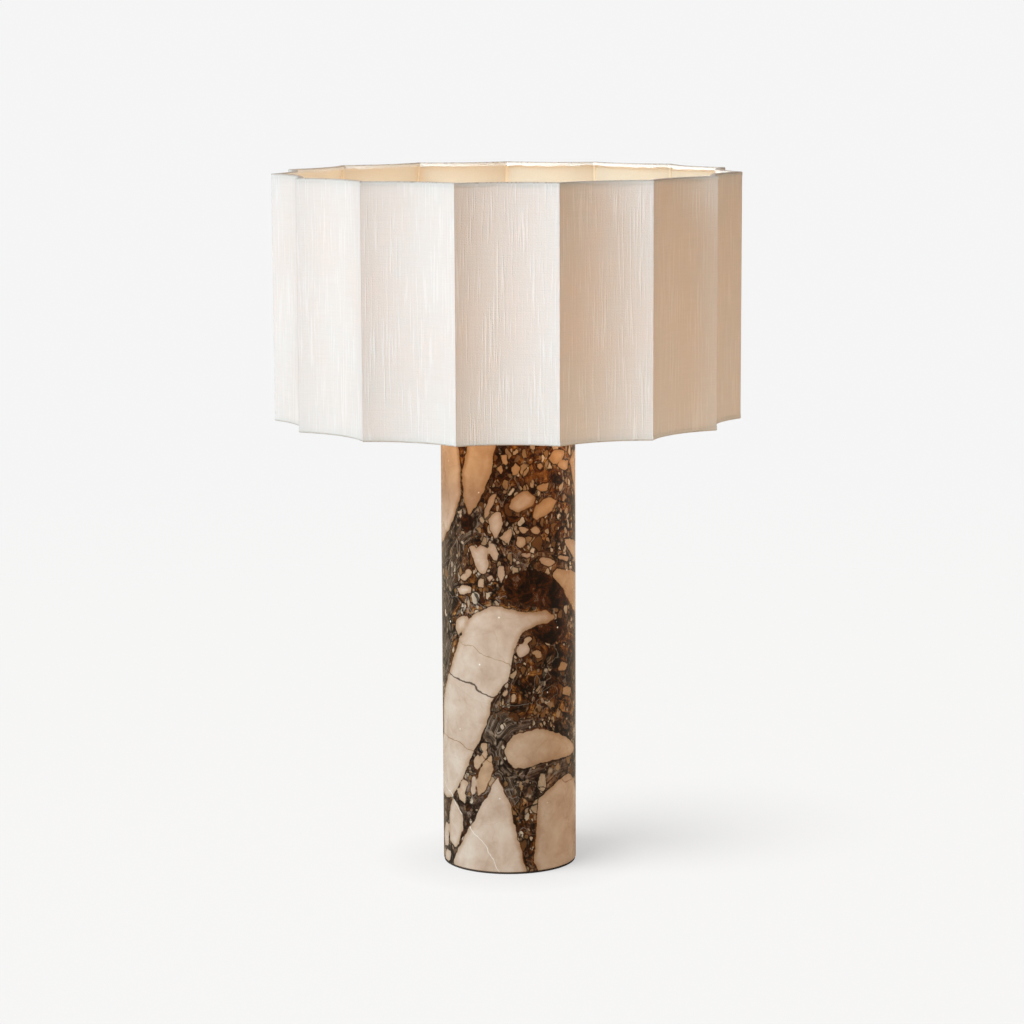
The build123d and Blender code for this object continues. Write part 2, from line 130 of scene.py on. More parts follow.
# The column. Its fragments' outlines are drawn on the unrolled stone, as (mm round from the front,
# mm up). Those whose names start with back can't be seen in the photo and are invented.
column = {
    "radius": 58, "foot": 1.5, "top": 391.5, "chamfer": 0.7,
    "bore": 12, "recess": 40, "recessDepth": 30,
    "topRings": (48, 40, 30), "footRings": 8, "footWall": 2,
    "inletHeight": 16, "inletSides": 48, "inletCuts": [(5.6, 30, 70), (7.6, 57.35, 71)],  # radius, from, to
    "around": 180, "upward": 190,
    "farthest": 60.0, "toneReach": 3, "skin": 1, "fadeInside": 0.8,  # how the outlines reach into the stone
    "paleFragments": {
        "leftTop": [(-96, 396), (-61, 396), (-55, 380), (-46, 366), (-44.5, 350), (-45, 332), (-48, 318),
                    (-54, 306), (-64, 294), (-84, 280), (-104, 300), (-108, 350)],
        "tongueSmall": [(-51, 396), (-41, 396), (-41, 382), (-43, 368), (-48, 376)],
        "tongue": [(-26, 396), (-12, 396), (-10, 371), (-15, 350), (-20, 336), (-29, 319), (-36, 312),
                   (-41, 328), (-44, 346), (-39, 364), (-31, 380)],
        "topDiamond": [(-10, 316), (-7, 315), (-4, 306), (-8, 299), (-11, 294), (-15, 301), (-17, 309),
                       (-13, 314)],
        "topOval": [(0, 319), (3, 327), (10, 332), (17, 334), (24, 328), (20, 321), (12, 316), (6, 314)],
        "tanOval": [(21, 311), (23, 320), (31, 325), (40, 327), (46, 323), (40, 315), (31, 311), (25, 308)],
        "smallBar": [(24, 336), (29, 338), (36, 339), (36, 333), (29, 332)],
        "cornerTan": [(37, 360), (42, 365), (50, 367), (57, 363), (52, 357), (43, 355)],
        "cornerTanTwo": [(47, 353), (54, 358), (62, 355), (64, 346), (55, 348)],
        "rightEdge": [(66, 354), (76, 362), (98, 366), (104, 320), (86, 314), (71, 342)],
        "heart": [(-36, 284), (-31, 288), (-28, 284), (-24, 288), (-18, 284), (-19, 275), (-16, 270),
                  (-21, 261), (-26, 263), (-31, 274)],
        "kidney": [(-17, 291), (-13, 288), (-8, 279), (-9, 273), (-13, 274), (-17, 283)],
        "smallDown": [(-9, 270), (-4, 270), (-4, 260), (-7, 253), (-9, 261)],
        "middle": [(-7, 294), (-2, 299), (3, 303), (3, 296), (0, 287), (-3, 290)],
        "flat": [(9, 278), (13, 281), (19, 281), (22, 278), (17, 276)],
        "rightPale": [(56, 288), (70, 286), (96, 280), (100, 252), (79, 267), (63, 278)],
        "rightTan": [(38, 260), (46, 265), (61, 261), (96, 252), (98, 214), (74, 224), (63, 235), (52, 247)],
        "leftPebble": [(-52, 219), (-46, 224), (-38, 225), (-36, 222), (-41, 213), (-48, 207), (-52, 212)],
        "whiteSpar": [(-50, 247), (-44, 250), (-35, 249), (-35, 245), (-42, 243), (-47, 243)],
        "band": [(-30, 227), (-19, 233), (-6, 234), (5, 232), (13, 229), (22, 230), (34, 229), (42, 225),
                 (46, 221), (37, 219), (24, 217), (14, 213), (8, 206), (4, 197), (3, 187), (1, 178),
                 (-2, 169), (-9, 161), (-12, 157), (-16, 151), (-17, 140), (-21, 131), (-25, 120), (-32, 107),
                 (-38, 94), (-45, 82), (-53, 70), (-59, 61), (-72, 59), (-92, 62), (-96, 100), (-81, 116),
                 (-79, 144), (-71, 159), (-62, 173), (-57, 184), (-51, 194), (-47, 203), (-43, 212),
                 (-37, 221)],
        "oval": [(-4, 108), (-1, 116), (5, 123), (16, 126), (29, 127), (42, 123), (56, 116), (72, 106),
                 (80, 99), (59, 97), (41, 98), (26, 96), (12, 93), (4, 94), (-1, 100)],
        "triangle": [(-10, 86), (-7, 79), (-3, 69), (2, 58), (4, 47), (7, 31), (11, 18), (14, 4), (14, -4),
                     (-57, -4), (-57, 5), (-50, 19), (-40, 33), (-32, 45), (-26, 60), (-19, 68), (-16, 77)],
        "block": [(63, 81), (75, 74), (92, 56), (94, -6), (58, -6), (25, -6), (25, 2), (21, 10), (23, 25),
                  (24, 36), (25, 52), (26, 64), (34, 71), (45, 79)],
        "sliver": [(-59, 61), (-52, 58), (-46, 49), (-45, 36), (-49, 24), (-55, 18), (-64, 23), (-65, 40),
                   (-63, 53)],
        "sliverLeft": [(-73, 37), (-66, 35), (-68, 17), (-77, 14), (-82, 26)],
        "footChip": [(-74, 12), (-64, 12), (-66, 3), (-78, 3)],
        "veinTan": [(-16, 105), (-14, 98), (-17, 83), (-22, 74), (-28, 68), (-29, 78), (-26, 92), (-22, 99)],
        "veinSliver": [(-34, 84), (-31, 84), (-31, 73), (-34, 64), (-35, 71)],
        "veinTanTwo": [(-53, 70), (-46, 72), (-41, 66), (-42, 59), (-49, 62)],
        "knotTan": [(-31, 97), (-25, 105), (-20, 110), (-19, 104), (-25, 96), (-29, 91)],
        "pebbleOne": [(7, 196), (9, 201), (16, 201), (18, 197), (14, 192), (9, 190)],
        "pebbleTwo": [(20, 194), (25, 197), (29, 193), (28, 189), (24, 189)],
        "pebbleThree": [(13, 206), (17, 209), (21, 206), (17, 203), (14, 201)],
        # smaller pieces: by the foot, right of the long fragment, by the heart, and near the top
        "footOne": [(-25, 114), (-22, 116), (-18, 116), (-19, 110), (-23, 107), (-26, 110)],
        "footTwo": [(-24, 96), (-18, 100), (-14, 92), (-18, 83), (-22, 76), (-26, 83)],
        "footThree": [(-33, 82), (-30, 80), (-31, 69), (-34, 71)],
        "footFour": [(-45, 80), (-39, 78), (-42, 70), (-47, 64), (-48, 72)],
        "footFive": [(-33, 100), (-28, 105), (-26, 99), (-31, 92)],
        "bandOne": [(2, 158), (5, 159), (5, 152), (1, 151)],
        "bandTwo": [(-3, 165), (0, 161), (-3, 154), (-6, 158)],
        "rightOne": [(60, 160), (68, 155), (65, 149), (52, 153), (54, 160)],
        "rightTwo": [(51, 183), (61, 179), (58, 173), (48, 176)],
        "heartOne": [(-26, 259), (-21, 258), (-22, 251), (-27, 251)],
        "heartTwo": [(-19, 261), (-15, 262), (-13, 259), (-17, 255), (-19, 258)],
        "heartThree": [(-40, 263), (-36, 266), (-32, 263), (-35, 259), (-39, 260)],
        "heartFour": [(-45, 257), (-41, 261), (-38, 258), (-41, 255)],
        "topOne": [(3, 353), (6, 357), (10, 354), (9, 349), (5, 348)],
        "topTwo": [(24, 356), (29, 357), (31, 354), (28, 351), (25, 352)],
        "topThree": [(-10, 353), (-6, 356), (-4, 352), (-6, 349)],
        "topFour": [(-6, 364), (-2, 364), (0, 358), (-1, 354), (-5, 358)],
        "topFive": [(8, 304), (14, 302), (17, 300), (13, 298), (9, 301)],
        "topSix": [(19, 300), (24, 302), (28, 299), (25, 296), (21, 297)],
        "topSeven": [(-21, 318), (-14, 330), (-9, 334), (-11, 327), (-17, 313), (-21, 309)],
        "topEight": [(8, 294), (13, 293), (14, 288), (11, 284), (7, 287)],
        "lensOne": [(25, 276), (35, 275), (44, 270), (37, 267), (29, 270)],
        "lensTwo": [(42, 276), (52, 276), (65, 271), (61, 268), (49, 272)],
        # the back, in the same manner
        "backBand": [(100, 40), (112, 34), (128, 64), (142, 102), (155, 140), (169, 176), (186, 203),
                     (204, 220), (222, 230), (214, 250), (190, 244), (168, 227), (150, 198), (134, 160),
                     (120, 118), (106, 82)],
        "backTall": [(120, 396), (150, 396), (158, 370), (151, 336), (139, 300), (127, 280), (117, 300),
                     (121, 340), (115, 372)],
        "backSlab": [(-178, 396), (-148, 396), (-127, 370), (-121, 334), (-135, 300), (-150, 288),
                     (-165, 318), (-173, 352)],
        "backRound": [(110, 234), (119, 254), (136, 260), (147, 247), (139, 229), (121, 224)],
        "backLeaf": [(-152, 198), (-133, 214), (-112, 206), (-101, 180), (-107, 156), (-124, 138),
                     (-141, 155), (-154, 178)],
        "backFoot": [(122, -6), (117, 22), (132, 44), (150, 51), (166, 34), (169, 8), (165, -6)],
        "backWedge": [(-171, 94), (-150, 119), (-126, 104), (-112, 70), (-105, 30), (-112, -6), (-160, -6),
                      (-173, 40)],
        "backLow": [(-178, 150), (-166, 161), (-155, 150), (-160, 134), (-174, 131)],
        "backChip": [(150, 281), (160, 289), (171, 282), (166, 269), (154, 267)],
        "backChipTwo": [(168, 318), (180, 331), (187, 318), (178, 303)],
        "backChipThree": [(-117, 262), (-104, 269), (-97, 256), (-108, 245)],
    },
    "tanTones": {"tongue": 0.5, "tongueSmall": 0.55, "topOval": 0.3, "tanOval": 0.9, "smallBar": 0.7,
                 "cornerTan": 0.9, "cornerTanTwo": 0.8, "rightEdge": 0.7, "rightTan": 0.75, "rightPale": 0.4,
                 "veinTan": 0.7, "veinTanTwo": 0.5, "knotTan": 0.5, "pebbleTwo": 0.8, "pebbleThree": 0.5,
                 "middle": 0.3, "backLow": 0.6, "backChip": 0.7, "backChipTwo": 0.5, "backTall": 0.3,
                 "backLeaf": 0.3, "oval": 0.42, "block": 0.15, "footOne": 0.5, "footTwo": 0.6,
                 "footFour": 0.3, "footFive": 0.4, "bandOne": 0.6, "bandTwo": 0.4, "rightOne": 0.9,
                 "rightTwo": 0.9, "heartOne": 0.2, "heartThree": 0.3, "heartFour": 0.3, "topOne": 0.8,
                 "topTwo": 0.8, "topThree": 0.7, "topFour": 0.7, "topFive": 0.5, "topSix": 0.6,
                 "topSeven": 0.3, "topEight": 0.6, "lensOne": 0.3, "lensTwo": 0.3},
    # cracks right across the big fragments: tilt, height at the front, half width, colour
    "cracks": [(21.8, 148.2, 1.1, "#33221a"), (20.9, 96.2, 0.55, "#8a6241"), (22.9, 177.1, 0.5, "#a3876b"),
               (56.5, 2.5, 0.4, "#e6dbcf")],
    # dark grey streaky matter down the left edge and between the long and the oval fragments
    "greyZones": {
        "leftEdge": [(-92, 280), (-70, 286), (-58, 300), (-48, 316), (-44, 334), (-33, 326), (-24, 318),
                     (-25, 306), (-33, 292), (-42, 280), (-44, 262), (-50, 243), (-56, 226), (-56, 196),
                     (-66, 172), (-84, 150), (-100, 150), (-100, 272)],
        "saddle": [(-12, 152), (-2, 143), (8, 130), (-5, 118), (-6, 100), (3, 90), (12, 84), (6, 60), (0, 66),
                   (-6, 82), (-14, 92), (-20, 112), (-22, 130)],
        "backGrey": [(170, 300), (184, 300), (190, 200), (176, 120), (164, 130), (172, 210)],
    },
    # rust-brown matter with few pieces, right of the long fragment
    "rustZones": {
        "right": [(12, 206), (30, 203), (58, 214), (96, 212), (98, 128), (70, 128), (44, 138), (18, 136),
                  (2, 140), (-4, 158), (2, 180)],
        "top": [(-12, 396), (64, 396), (66, 344), (44, 332), (20, 338), (0, 342), (-14, 356)],
        "upperRight": [(4, 312), (26, 304), (50, 308), (64, 330), (96, 330), (96, 292), (62, 288), (30, 292),
                       (8, 300)],
        "backRust": [(104, 190), (118, 190), (120, 120), (106, 110)],
    },
    "darkFragments": {
        "lens": [(-5, 254), (-1, 261), (9, 265), (23, 266), (37, 260), (49, 252), (61, 241), (64, 230),
                 (51, 229), (37, 231), (22, 233), (11, 237), (-2, 241)],
        "knot": [(-45, 310), (-38, 314), (-31, 309), (-32, 300), (-40, 296), (-46, 303)],
        "eye": [(18, 216), (33, 221), (48, 221), (60, 215), (54, 202), (38, 199), (24, 205)],
        "backLens": [(-166, 258), (-140, 254), (-124, 262), (-140, 270)],
    },
}


def outlineDistance(points, u, v):
    # signed distance in mm from an outline, negative inside
    corners = np.array(points, float)
    nearest = np.full(u.shape, 1e9)
    inside = np.zeros(u.shape, bool)
    for (ax, ay), (bx, by) in zip(corners, np.roll(corners, -1, axis=0)):
        dx, dy = bx - ax, by - ay
        along = np.clip(((u - ax) * dx + (v - ay) * dy) / (dx * dx + dy * dy), 0, 1)
        nearest = np.minimum(nearest, np.hypot(u - ax - along * dx, v - ay - along * dy))
        crosses = (ay > v) != (by > v)
        inside ^= crosses & (u < ax + (v - ay) * dx / (dy if dy else 1e-9))
    return np.where(inside, -nearest, nearest)


def makeColumn(material):
    c = column
    heights = np.linspace(c["foot"] + c["chamfer"], c["top"] - c["chamfer"], c["upward"])
    across = np.linspace(c["radius"] - c["chamfer"], c["recess"] + c["footWall"], c["footRings"])
    profile = [(c["radius"], z) for z in heights]
    profile += [(r, c["top"]) for r in (c["radius"] - c["chamfer"], *c["topRings"])]
    profile += [(c["bore"], c["top"]), (c["bore"], c["foot"] + c["recessDepth"]),
                (c["recess"], c["foot"] + c["recessDepth"]), (c["recess"], c["foot"])]
    profile += [(r, c["foot"]) for r in across[::-1]]
    bm = bmesh.new()
    spinProfile(bm, profile, c["around"])
    piece = addPiece("breccia_column", bm, "base", material)
    # the cord's inlet, cut through the back
    cutter = bmesh.new()
    inward = Matrix.Rotation(math.pi / 2, 4, "X")
    for radius, low, high in c["inletCuts"]:
        middle = Matrix.Translation((0, (low + high) / 2 * mm, c["inletHeight"] * mm))
        bmesh.ops.create_cone(cutter, cap_ends=True, segments=c["inletSides"], radius1=radius * mm,
                              radius2=radius * mm, depth=(high - low) * mm, matrix=middle @ inward)
    cutMesh = bpy.data.meshes.new("inletCutter")
    cutter.to_mesh(cutMesh)
    cutter.free()
    cutObject = bpy.data.objects.new("inletCutter", cutMesh)
    bpy.context.scene.collection.objects.link(cutObject)
    cut = piece.modifiers.new("inlet", "BOOLEAN")
    cut.operation, cut.solver, cut.object = "DIFFERENCE", "EXACT", cutObject
    shaped = bpy.data.meshes.new_from_object(piece.evaluated_get(bpy.context.evaluated_depsgraph_get()))
    piece.modifiers.clear()
    piece.data = shaped
    bpy.data.objects.remove(cutObject)
    shaped.set_sharp_from_angle(angle=math.radians(35))
    # how far each point is from the fragments' outlines
    co = np.array([v.co for v in shaped.vertices]) / mm
    radius = np.hypot(co[:, 0], co[:, 1])
    depth = np.maximum(0, c["radius"] - c["skin"] - radius)
    u, v = c["radius"] * np.arctan2(co[:, 0], -co[:, 1]), co[:, 2]
    girth = math.tau * c["radius"]
    tones = np.zeros(len(co), np.float32)
    for name in ("paleFragments", "greyZones", "rustZones", "darkFragments"):
        least = np.full(len(co), c["farthest"])
        for fragment, points in c[name].items():
            for turn in (-girth, 0, girth):
                away = outlineDistance(points, u + turn, v)
                if name == "paleFragments":
                    tones[(away < least) & (away < c["toneReach"])] = c["tanTones"].get(fragment, 0.0)
                least = np.minimum(least, away)
        least = (least + c["fadeInside"] * depth).astype(np.float32)
        shaped.attributes.new(name, "FLOAT", "POINT").data.foreach_set("value", least)
        if name == "paleFragments":
            shaped.attributes.new("fragmentTone", "FLOAT", "POINT").data.foreach_set("value", tones)
    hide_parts("column")
    return piece


def brecciaMaterial():
    # Polished breccia marble: pale limestone fragments in a brown and purple-grey ground, sawn, turned and
    # polished, so it shows stained fragment rims, dark seams, hairlines of calcite and one clear gloss.
    material, tree = startMaterial("polished breccia marble")
    place = addNode(tree, "TexCoord").outputs["Object"]
    fineBend = addNode(tree, "TexNoise", {"Vector": place, "Scale": 60.0, "Detail": 3.0})
    wideBend = addNode(tree, "TexNoise", {"Vector": place, "Scale": 15.0, "Detail": 2.0})
    fineShift, wideShift = (0.012, 0.012, 0.012), (0.05, 0.05, 0.05)
    fine = addNode(tree, "VectorMath", [fineBend.outputs["Color"], fineShift, place], "MULTIPLY_ADD")
    wide = addNode(tree, "VectorMath", [wideBend.outputs["Color"], wideShift, fine], "MULTIPLY_ADD")
    height = addNode(tree, "SeparateXYZ", {"Vector": place}).outputs[2]

    # big fragments: the distance from their drawn outlines in mm, made wavy and ragged
    pale, dark, tan, zone, rustZone = (
        addNode(tree, "Attribute", settings={"attribute_name": name}).outputs["Fac"]
        for name in ("paleFragments", "darkFragments", "fragmentTone", "greyZones", "rustZones"))
    ragged = addNode(tree, "TexNoise", {"Vector": place, "Scale": 150.0, "Detail": 3.0, "Roughness": 0.6})
    wavy = addNode(tree, "TexNoise", {"Vector": place, "Scale": 55.0, "Detail": 2.0})
    waved = addNode(tree, "Math", [wavy, 5.0, pale], "MULTIPLY_ADD")
    evened = addNode(tree, "Math", [waved, 2.5], "SUBTRACT")
    paleEdge = addNode(tree, "Math", [ragged, 3.6, evened], "MULTIPLY_ADD")
    darkEdge = addNode(tree, "Math", [ragged, 5.0, dark], "MULTIPLY_ADD")
    paleMask = addNode(tree, "MapRange", [paleEdge, 2.2, 1.3], smooth)
    darkMask = addNode(tree, "MapRange", [darkEdge, 3.0, 1.6], smooth)

    # the ground: streaks that flow round the fragments, purple grey or rust brown; browner towards the top,
    # partly the stone's own colour and partly painted warm light from under the shade
    cloud = addNode(tree, "TexNoise", {"Vector": wide, "Scale": 85.0, "Detail": 8.0, "Roughness": 0.72})
    towards = addNode(tree, "Math", [pale, 0.3], "MULTIPLY")
    bands = addNode(tree, "CombineXYZ", {"X": towards})
    along = addNode(tree, "VectorMath", [wide, (22, 22, 22), bands], "MULTIPLY_ADD")
    flow = addNode(tree, "TexNoise", {"Vector": along, "Scale": 1.0, "Detail": 5.0, "Roughness": 0.68})
    both = addNode(tree, "Math", [cloud, flow], "ADD")
    ground = addNode(tree, "Math", [both, 0.5], "MULTIPLY")
    grey = addNode(tree, "ValToRGB", [ground], {"stops": [(0.41, "#120905"), (0.47, "#2a1a12"),
                                                          (0.515, "#443026"), (0.56, "#685548"),
                                                          (0.63, "#93837a")]})
    brown = addNode(tree, "ValToRGB", [ground], {"stops": [(0.41, "#100501"), (0.47, "#301606"),
                                                           (0.515, "#552d0f"), (0.56, "#7f5026"),
                                                           (0.63, "#b08049")]})
    patch = addNode(tree, "TexNoise", {"Vector": place, "Scale": 15.0, "Detail": 3.0})
    # partly painted warm light: the ground turns browner from 220 to 330 mm up
    upward = addNode(tree, "MapRange", [height, 0.22, 0.33, 0.0, 0.12])
    brownness = addNode(tree, "Math", [patch, upward], "ADD")
    brownMask = addNode(tree, "MapRange", [brownness, 0.44, 0.56], smooth)
    rustEdge = addNode(tree, "Math", [cloud, 24.0, rustZone], "MULTIPLY_ADD")
    rustMask = addNode(tree, "MapRange", [rustEdge, 15.0, 8.0], smooth)
    browner = addNode(tree, "Math", [brownMask, rustMask], "MAXIMUM")
    mixed = addNode(tree, "Mix", {0: browner, 6: grey, 7: brown}, rgba)
    # dark grey matter with long pale streaks, and few pieces in it
    zoneEdge = addNode(tree, "Math", [cloud, 16.0, zone], "MULTIPLY_ADD")
    zoneMask = addNode(tree, "MapRange", [zoneEdge, 10.0, 6.0], smooth)
    combed = addNode(tree, "VectorMath", [fine, (14, 14, 14), bands], "MULTIPLY_ADD")
    comb = addNode(tree, "TexNoise", {"Vector": combed, "Scale": 2.6, "Detail": 6.0, "Roughness": 0.75})
    streaks = addNode(tree, "ValToRGB", [comb], {"stops": [(0.36, "#150e0a"), (0.46, "#382a21"),
                                                           (0.53, "#534132"), (0.60, "#7a685b"),
                                                           (0.68, "#a39284")]})
    layer = addNode(tree, "Mix", {0: zoneMask, 6: mixed, 7: streaks}, rgba)
    rustShare = addNode(tree, "Math", [rustMask, 0.4], "MULTIPLY")
    cleared = addNode(tree, "Math", [zoneMask, rustShare], "MAXIMUM")
    fewer = addNode(tree, "MapRange", [cleared, 0.0, 1.0, 0.0, -0.42])

    # broken pieces caught in the ground, from about 3 to 12 mm: cells with cut corners, each of its own tone
    crowd = addNode(tree, "TexNoise", {"Vector": place, "Scale": 24.0, "Detail": 2.0})
    crowdHigh = addNode(tree, "MapRange", [height, 0.225, 0.26, -0.03, 0.10])
    crowding = addNode(tree, "Math", [crowd, crowdHigh], "ADD")
    crowded = addNode(tree, "Math", [crowding, fewer], "ADD")
    for scale, keep, squeeze, turn, rimTint, rimPower, stops in (
            (300.0, 0.22, (1.0, 1.0, 0.62), (0.2, 0.7, 0.1), "#6f5f52", 0.35,
             [(0.0, "#1f0e05"), (0.3, "#4a2a14"), (0.55, "#6b4c34"), (0.8, "#94795f"), (1.0, "#b9a48f")]),
            (165.0, 0.42, (1.1, 1.1, 0.7), (0.9, 0.4, 0.3), "#160b05", 0.75,
             [(0.0, "#3a1c0c"), (0.3, "#6e4828"), (0.55, "#8f6c4a"), (0.8, "#b0957b"), (1.0, "#c6b19c")]),
            (92.0, 0.62, (1.1, 1.1, 0.75), (0.2, 0.5, 0.1), "#160b05", 0.85,
             [(0.0, "#4a2812"), (0.25, "#7c5431"), (0.5, "#a08060"), (0.75, "#b9a189"), (1.0, "#c9b5a1")])):
        squeezed = addNode(tree, "Mapping", {"Vector": fine, "Rotation": turn, "Scale": squeeze})
        cell = addNode(tree, "TexVoronoi", {"Vector": squeezed, "Scale": scale}, {"feature": "F1"})
        walls = addNode(tree, "TexVoronoi", {"Vector": squeezed, "Scale": scale},
                        {"feature": "DISTANCE_TO_EDGE"})
        dice = addNode(tree, "SeparateColor", {"Color": cell.outputs["Color"]})
        size = addNode(tree, "MapRange", [dice.outputs[0], 0.0, 1.0, 0.30, 0.62])
        beyond = addNode(tree, "Math", [cell.outputs["Distance"], size], "SUBTRACT")
        cutOff = addNode(tree, "Math", [0.07, walls.outputs["Distance"]], "SUBTRACT")
        gap = addNode(tree, "Math", [beyond, cutOff], "MAXIMUM")
        inside = addNode(tree, "MapRange", [gap, 0.0, -0.07], smooth)
        # they crowd together in some places, most of all above the long curved fragment
        chance = addNode(tree, "Math", [crowded, 1.1, dice.outputs[1]], "MULTIPLY_ADD")
        kept = addNode(tree, "MapRange", [chance, keep + 0.55, keep + 0.57])
        rim = addNode(tree, "MapRange", [gap, 0.09, 0.0], smooth)
        rimKept = addNode(tree, "Math", [rim, kept], "MULTIPLY")
        rimSoft = addNode(tree, "Math", [rimKept, rimPower], "MULTIPLY")
        pebble = addNode(tree, "ValToRGB", [dice.outputs[2]], {"stops": stops})
        dusky = addNode(tree, "MapRange", [cloud, 0.35, 0.65, 0.65, 1.15])
        shaded = addNode(tree, "HueSaturation", {"Color": pebble, "Value": dusky})
        rimmed = addNode(tree, "Mix", {0: rimSoft, 6: layer, 7: rimTint}, rgba)
        filled = addNode(tree, "Math", [inside, kept], "MULTIPLY")
        layer = addNode(tree, "Mix", {0: filled, 6: rimmed, 7: shaded}, rgba)

    # dark seams and pale hairlines that wander through the ground
    for scale, width, tint, strength in ((26.0, 0.022, "#120803", 0.85), (17.0, 0.006, "#93857a", 0.38)):
        seam = addNode(tree, "TexNoise", {"Vector": wide, "Scale": scale, "Detail": 4.0})
        off = addNode(tree, "Math", [seam, 0.5], "SUBTRACT")
        near = addNode(tree, "Math", [off], "ABSOLUTE")
        line = addNode(tree, "MapRange", [near, width, width / 4, 0.0, strength], smooth)
        layer = addNode(tree, "Mix", {0: line, 6: layer, 7: tint}, rgba)

    # dark brown fragments, near black at their edges
    darkTone = addNode(tree, "ValToRGB", [cloud], {"stops": [(0.40, "#0b0301"), (0.5, "#241004"),
                                                             (0.58, "#4a230b"), (0.68, "#715a4a")]})
    layer = addNode(tree, "Mix", {0: darkMask, 6: layer, 7: darkTone}, rgba)
    rusty = addNode(tree, "MapRange", [crowd, 0.5, 0.65])
    rust = addNode(tree, "Mix", {0: rusty, 6: "#1a0d07", 7: "#5f300f"}, rgba)
    outline = addNode(tree, "MapRange", [paleEdge, 3.4, 2.2, 0.0, 0.8], smooth)
    layer = addNode(tree, "Mix", {0: outline, 6: layer, 7: rust}, rgba)

    # pale fragments: cream or tan, mottled, stained brown inside their rims
    mottle = addNode(tree, "TexNoise", {"Vector": fine, "Scale": 38.0, "Detail": 6.0, "Roughness": 0.62})
    cream = addNode(tree, "ValToRGB", [mottle], {"stops": [(0.32, "#b39783"), (0.5, "#c4ab99"),
                                                           (0.68, "#cfbbab")]})
    tanned = addNode(tree, "ValToRGB", [mottle], {"stops": [(0.32, "#946c48"), (0.5, "#b38c66"),
                                                            (0.68, "#bf9f7c")]})
    body = addNode(tree, "Mix", {0: tan, 6: cream, 7: tanned}, rgba)
    rim = addNode(tree, "MapRange", [paleEdge, -3.5, 1.7], smooth)
    rimNoise = addNode(tree, "MapRange", [patch, 0.35, 0.65, 0.25, 1.0])
    rimSoft = addNode(tree, "Math", [rim, rimNoise], "MULTIPLY")
    body = addNode(tree, "Mix", {0: rimSoft, 6: body, 7: "#a07a58"}, rgba)
    web = addNode(tree, "TexVoronoi", {"Vector": fine, "Scale": 20.0}, {"feature": "DISTANCE_TO_EDGE"})
    webLine = addNode(tree, "MapRange", [web.outputs["Distance"], 0.010, 0.002, 0.0, 0.14])
    body = addNode(tree, "Mix", {0: webLine, 6: body, 7: "#9b7c60"}, rgba)
    # cracks: thin sheets that cut the stone at a tilt
    for turn, level, width, tint in column["cracks"]:
        across = (math.sin(math.radians(turn)), 0, math.cos(math.radians(turn)))
        along = addNode(tree, "VectorMath", [fine, across], "DOT_PRODUCT")
        off = addNode(tree, "Math", [along, level * mm], "SUBTRACT")
        near = addNode(tree, "Math", [off], "ABSOLUTE")
        line = addNode(tree, "MapRange", [near, width * mm, width * mm / 3, 0.0, 0.85], smooth)
        body = addNode(tree, "Mix", {0: line, 6: body, 7: tint}, rgba)
    layer = addNode(tree, "Mix", {0: paleMask, 6: layer, 7: body}, rgba)

    # sparkling calcite flecks
    fleck = addNode(tree, "TexVoronoi", {"Vector": place, "Scale": 120.0}, {"feature": "F1"})
    fleckDice = addNode(tree, "SeparateColor", {"Color": fleck.outputs["Color"]})
    fleckNear = addNode(tree, "MapRange", [fleck.outputs["Distance"], 0.12, 0.06])
    fleckKept = addNode(tree, "Math", [fleckDice.outputs[0], 0.93], "GREATER_THAN")
    fleckMask = addNode(tree, "Math", [fleckNear, fleckKept], "MULTIPLY")
    layer = addNode(tree, "Mix", {0: fleckMask, 6: layer, 7: "#efe6da"}, rgba)

    # the polish is a little duller over the soft seams
    gloss = addNode(tree, "MapRange", [cloud, 0.3, 0.7, 0.33, 0.24])
    shader = addNode(tree, "BsdfPrincipled",
                     {"Base Color": layer, "Roughness": gloss, "IOR": 1.5, "Specular IOR Level": 0.12})
    endMaterial(tree, shader)
    return material


stoneColumn = makeColumn(brecciaMaterial())
print("column done:", len(stoneColumn.data.polygons), "faces")


# The shade: hollow flutes between ridges, sizes in mm
flutes = {
    "count": 15, "radius": 200, "depth": 10,
    "low": 390, "high": 600, "coverLow": 390.4, "coverHigh": 599.6,
    "liningInset": 1.05, "across": 28, "upward": 24,
    "hemHeight": 3.2, "hemInset": 0.0, "hemInside": 4.8, "hemAcross": 64, "trimWander": 1.1,
    "roll": 0.9, "rollIn": 0.35, "rollUp": 0.2,  # the hem's rounded fold
    "liningUpward": 12, "overrun": 2.5, "weld": 0.05, "panelShift": 0.31,
}
halfFlute = math.pi / flutes["count"]
chord = 2 * flutes["radius"] * math.sin(halfFlute)
arcRadius = (chord ** 2 / 4 + flutes["depth"] ** 2) / (2 * flutes["depth"])
arcHalf = math.asin(chord / 2 / arcRadius)
arcCentre = flutes["radius"] * math.cos(halfFlute) + arcRadius * math.cos(arcHalf)


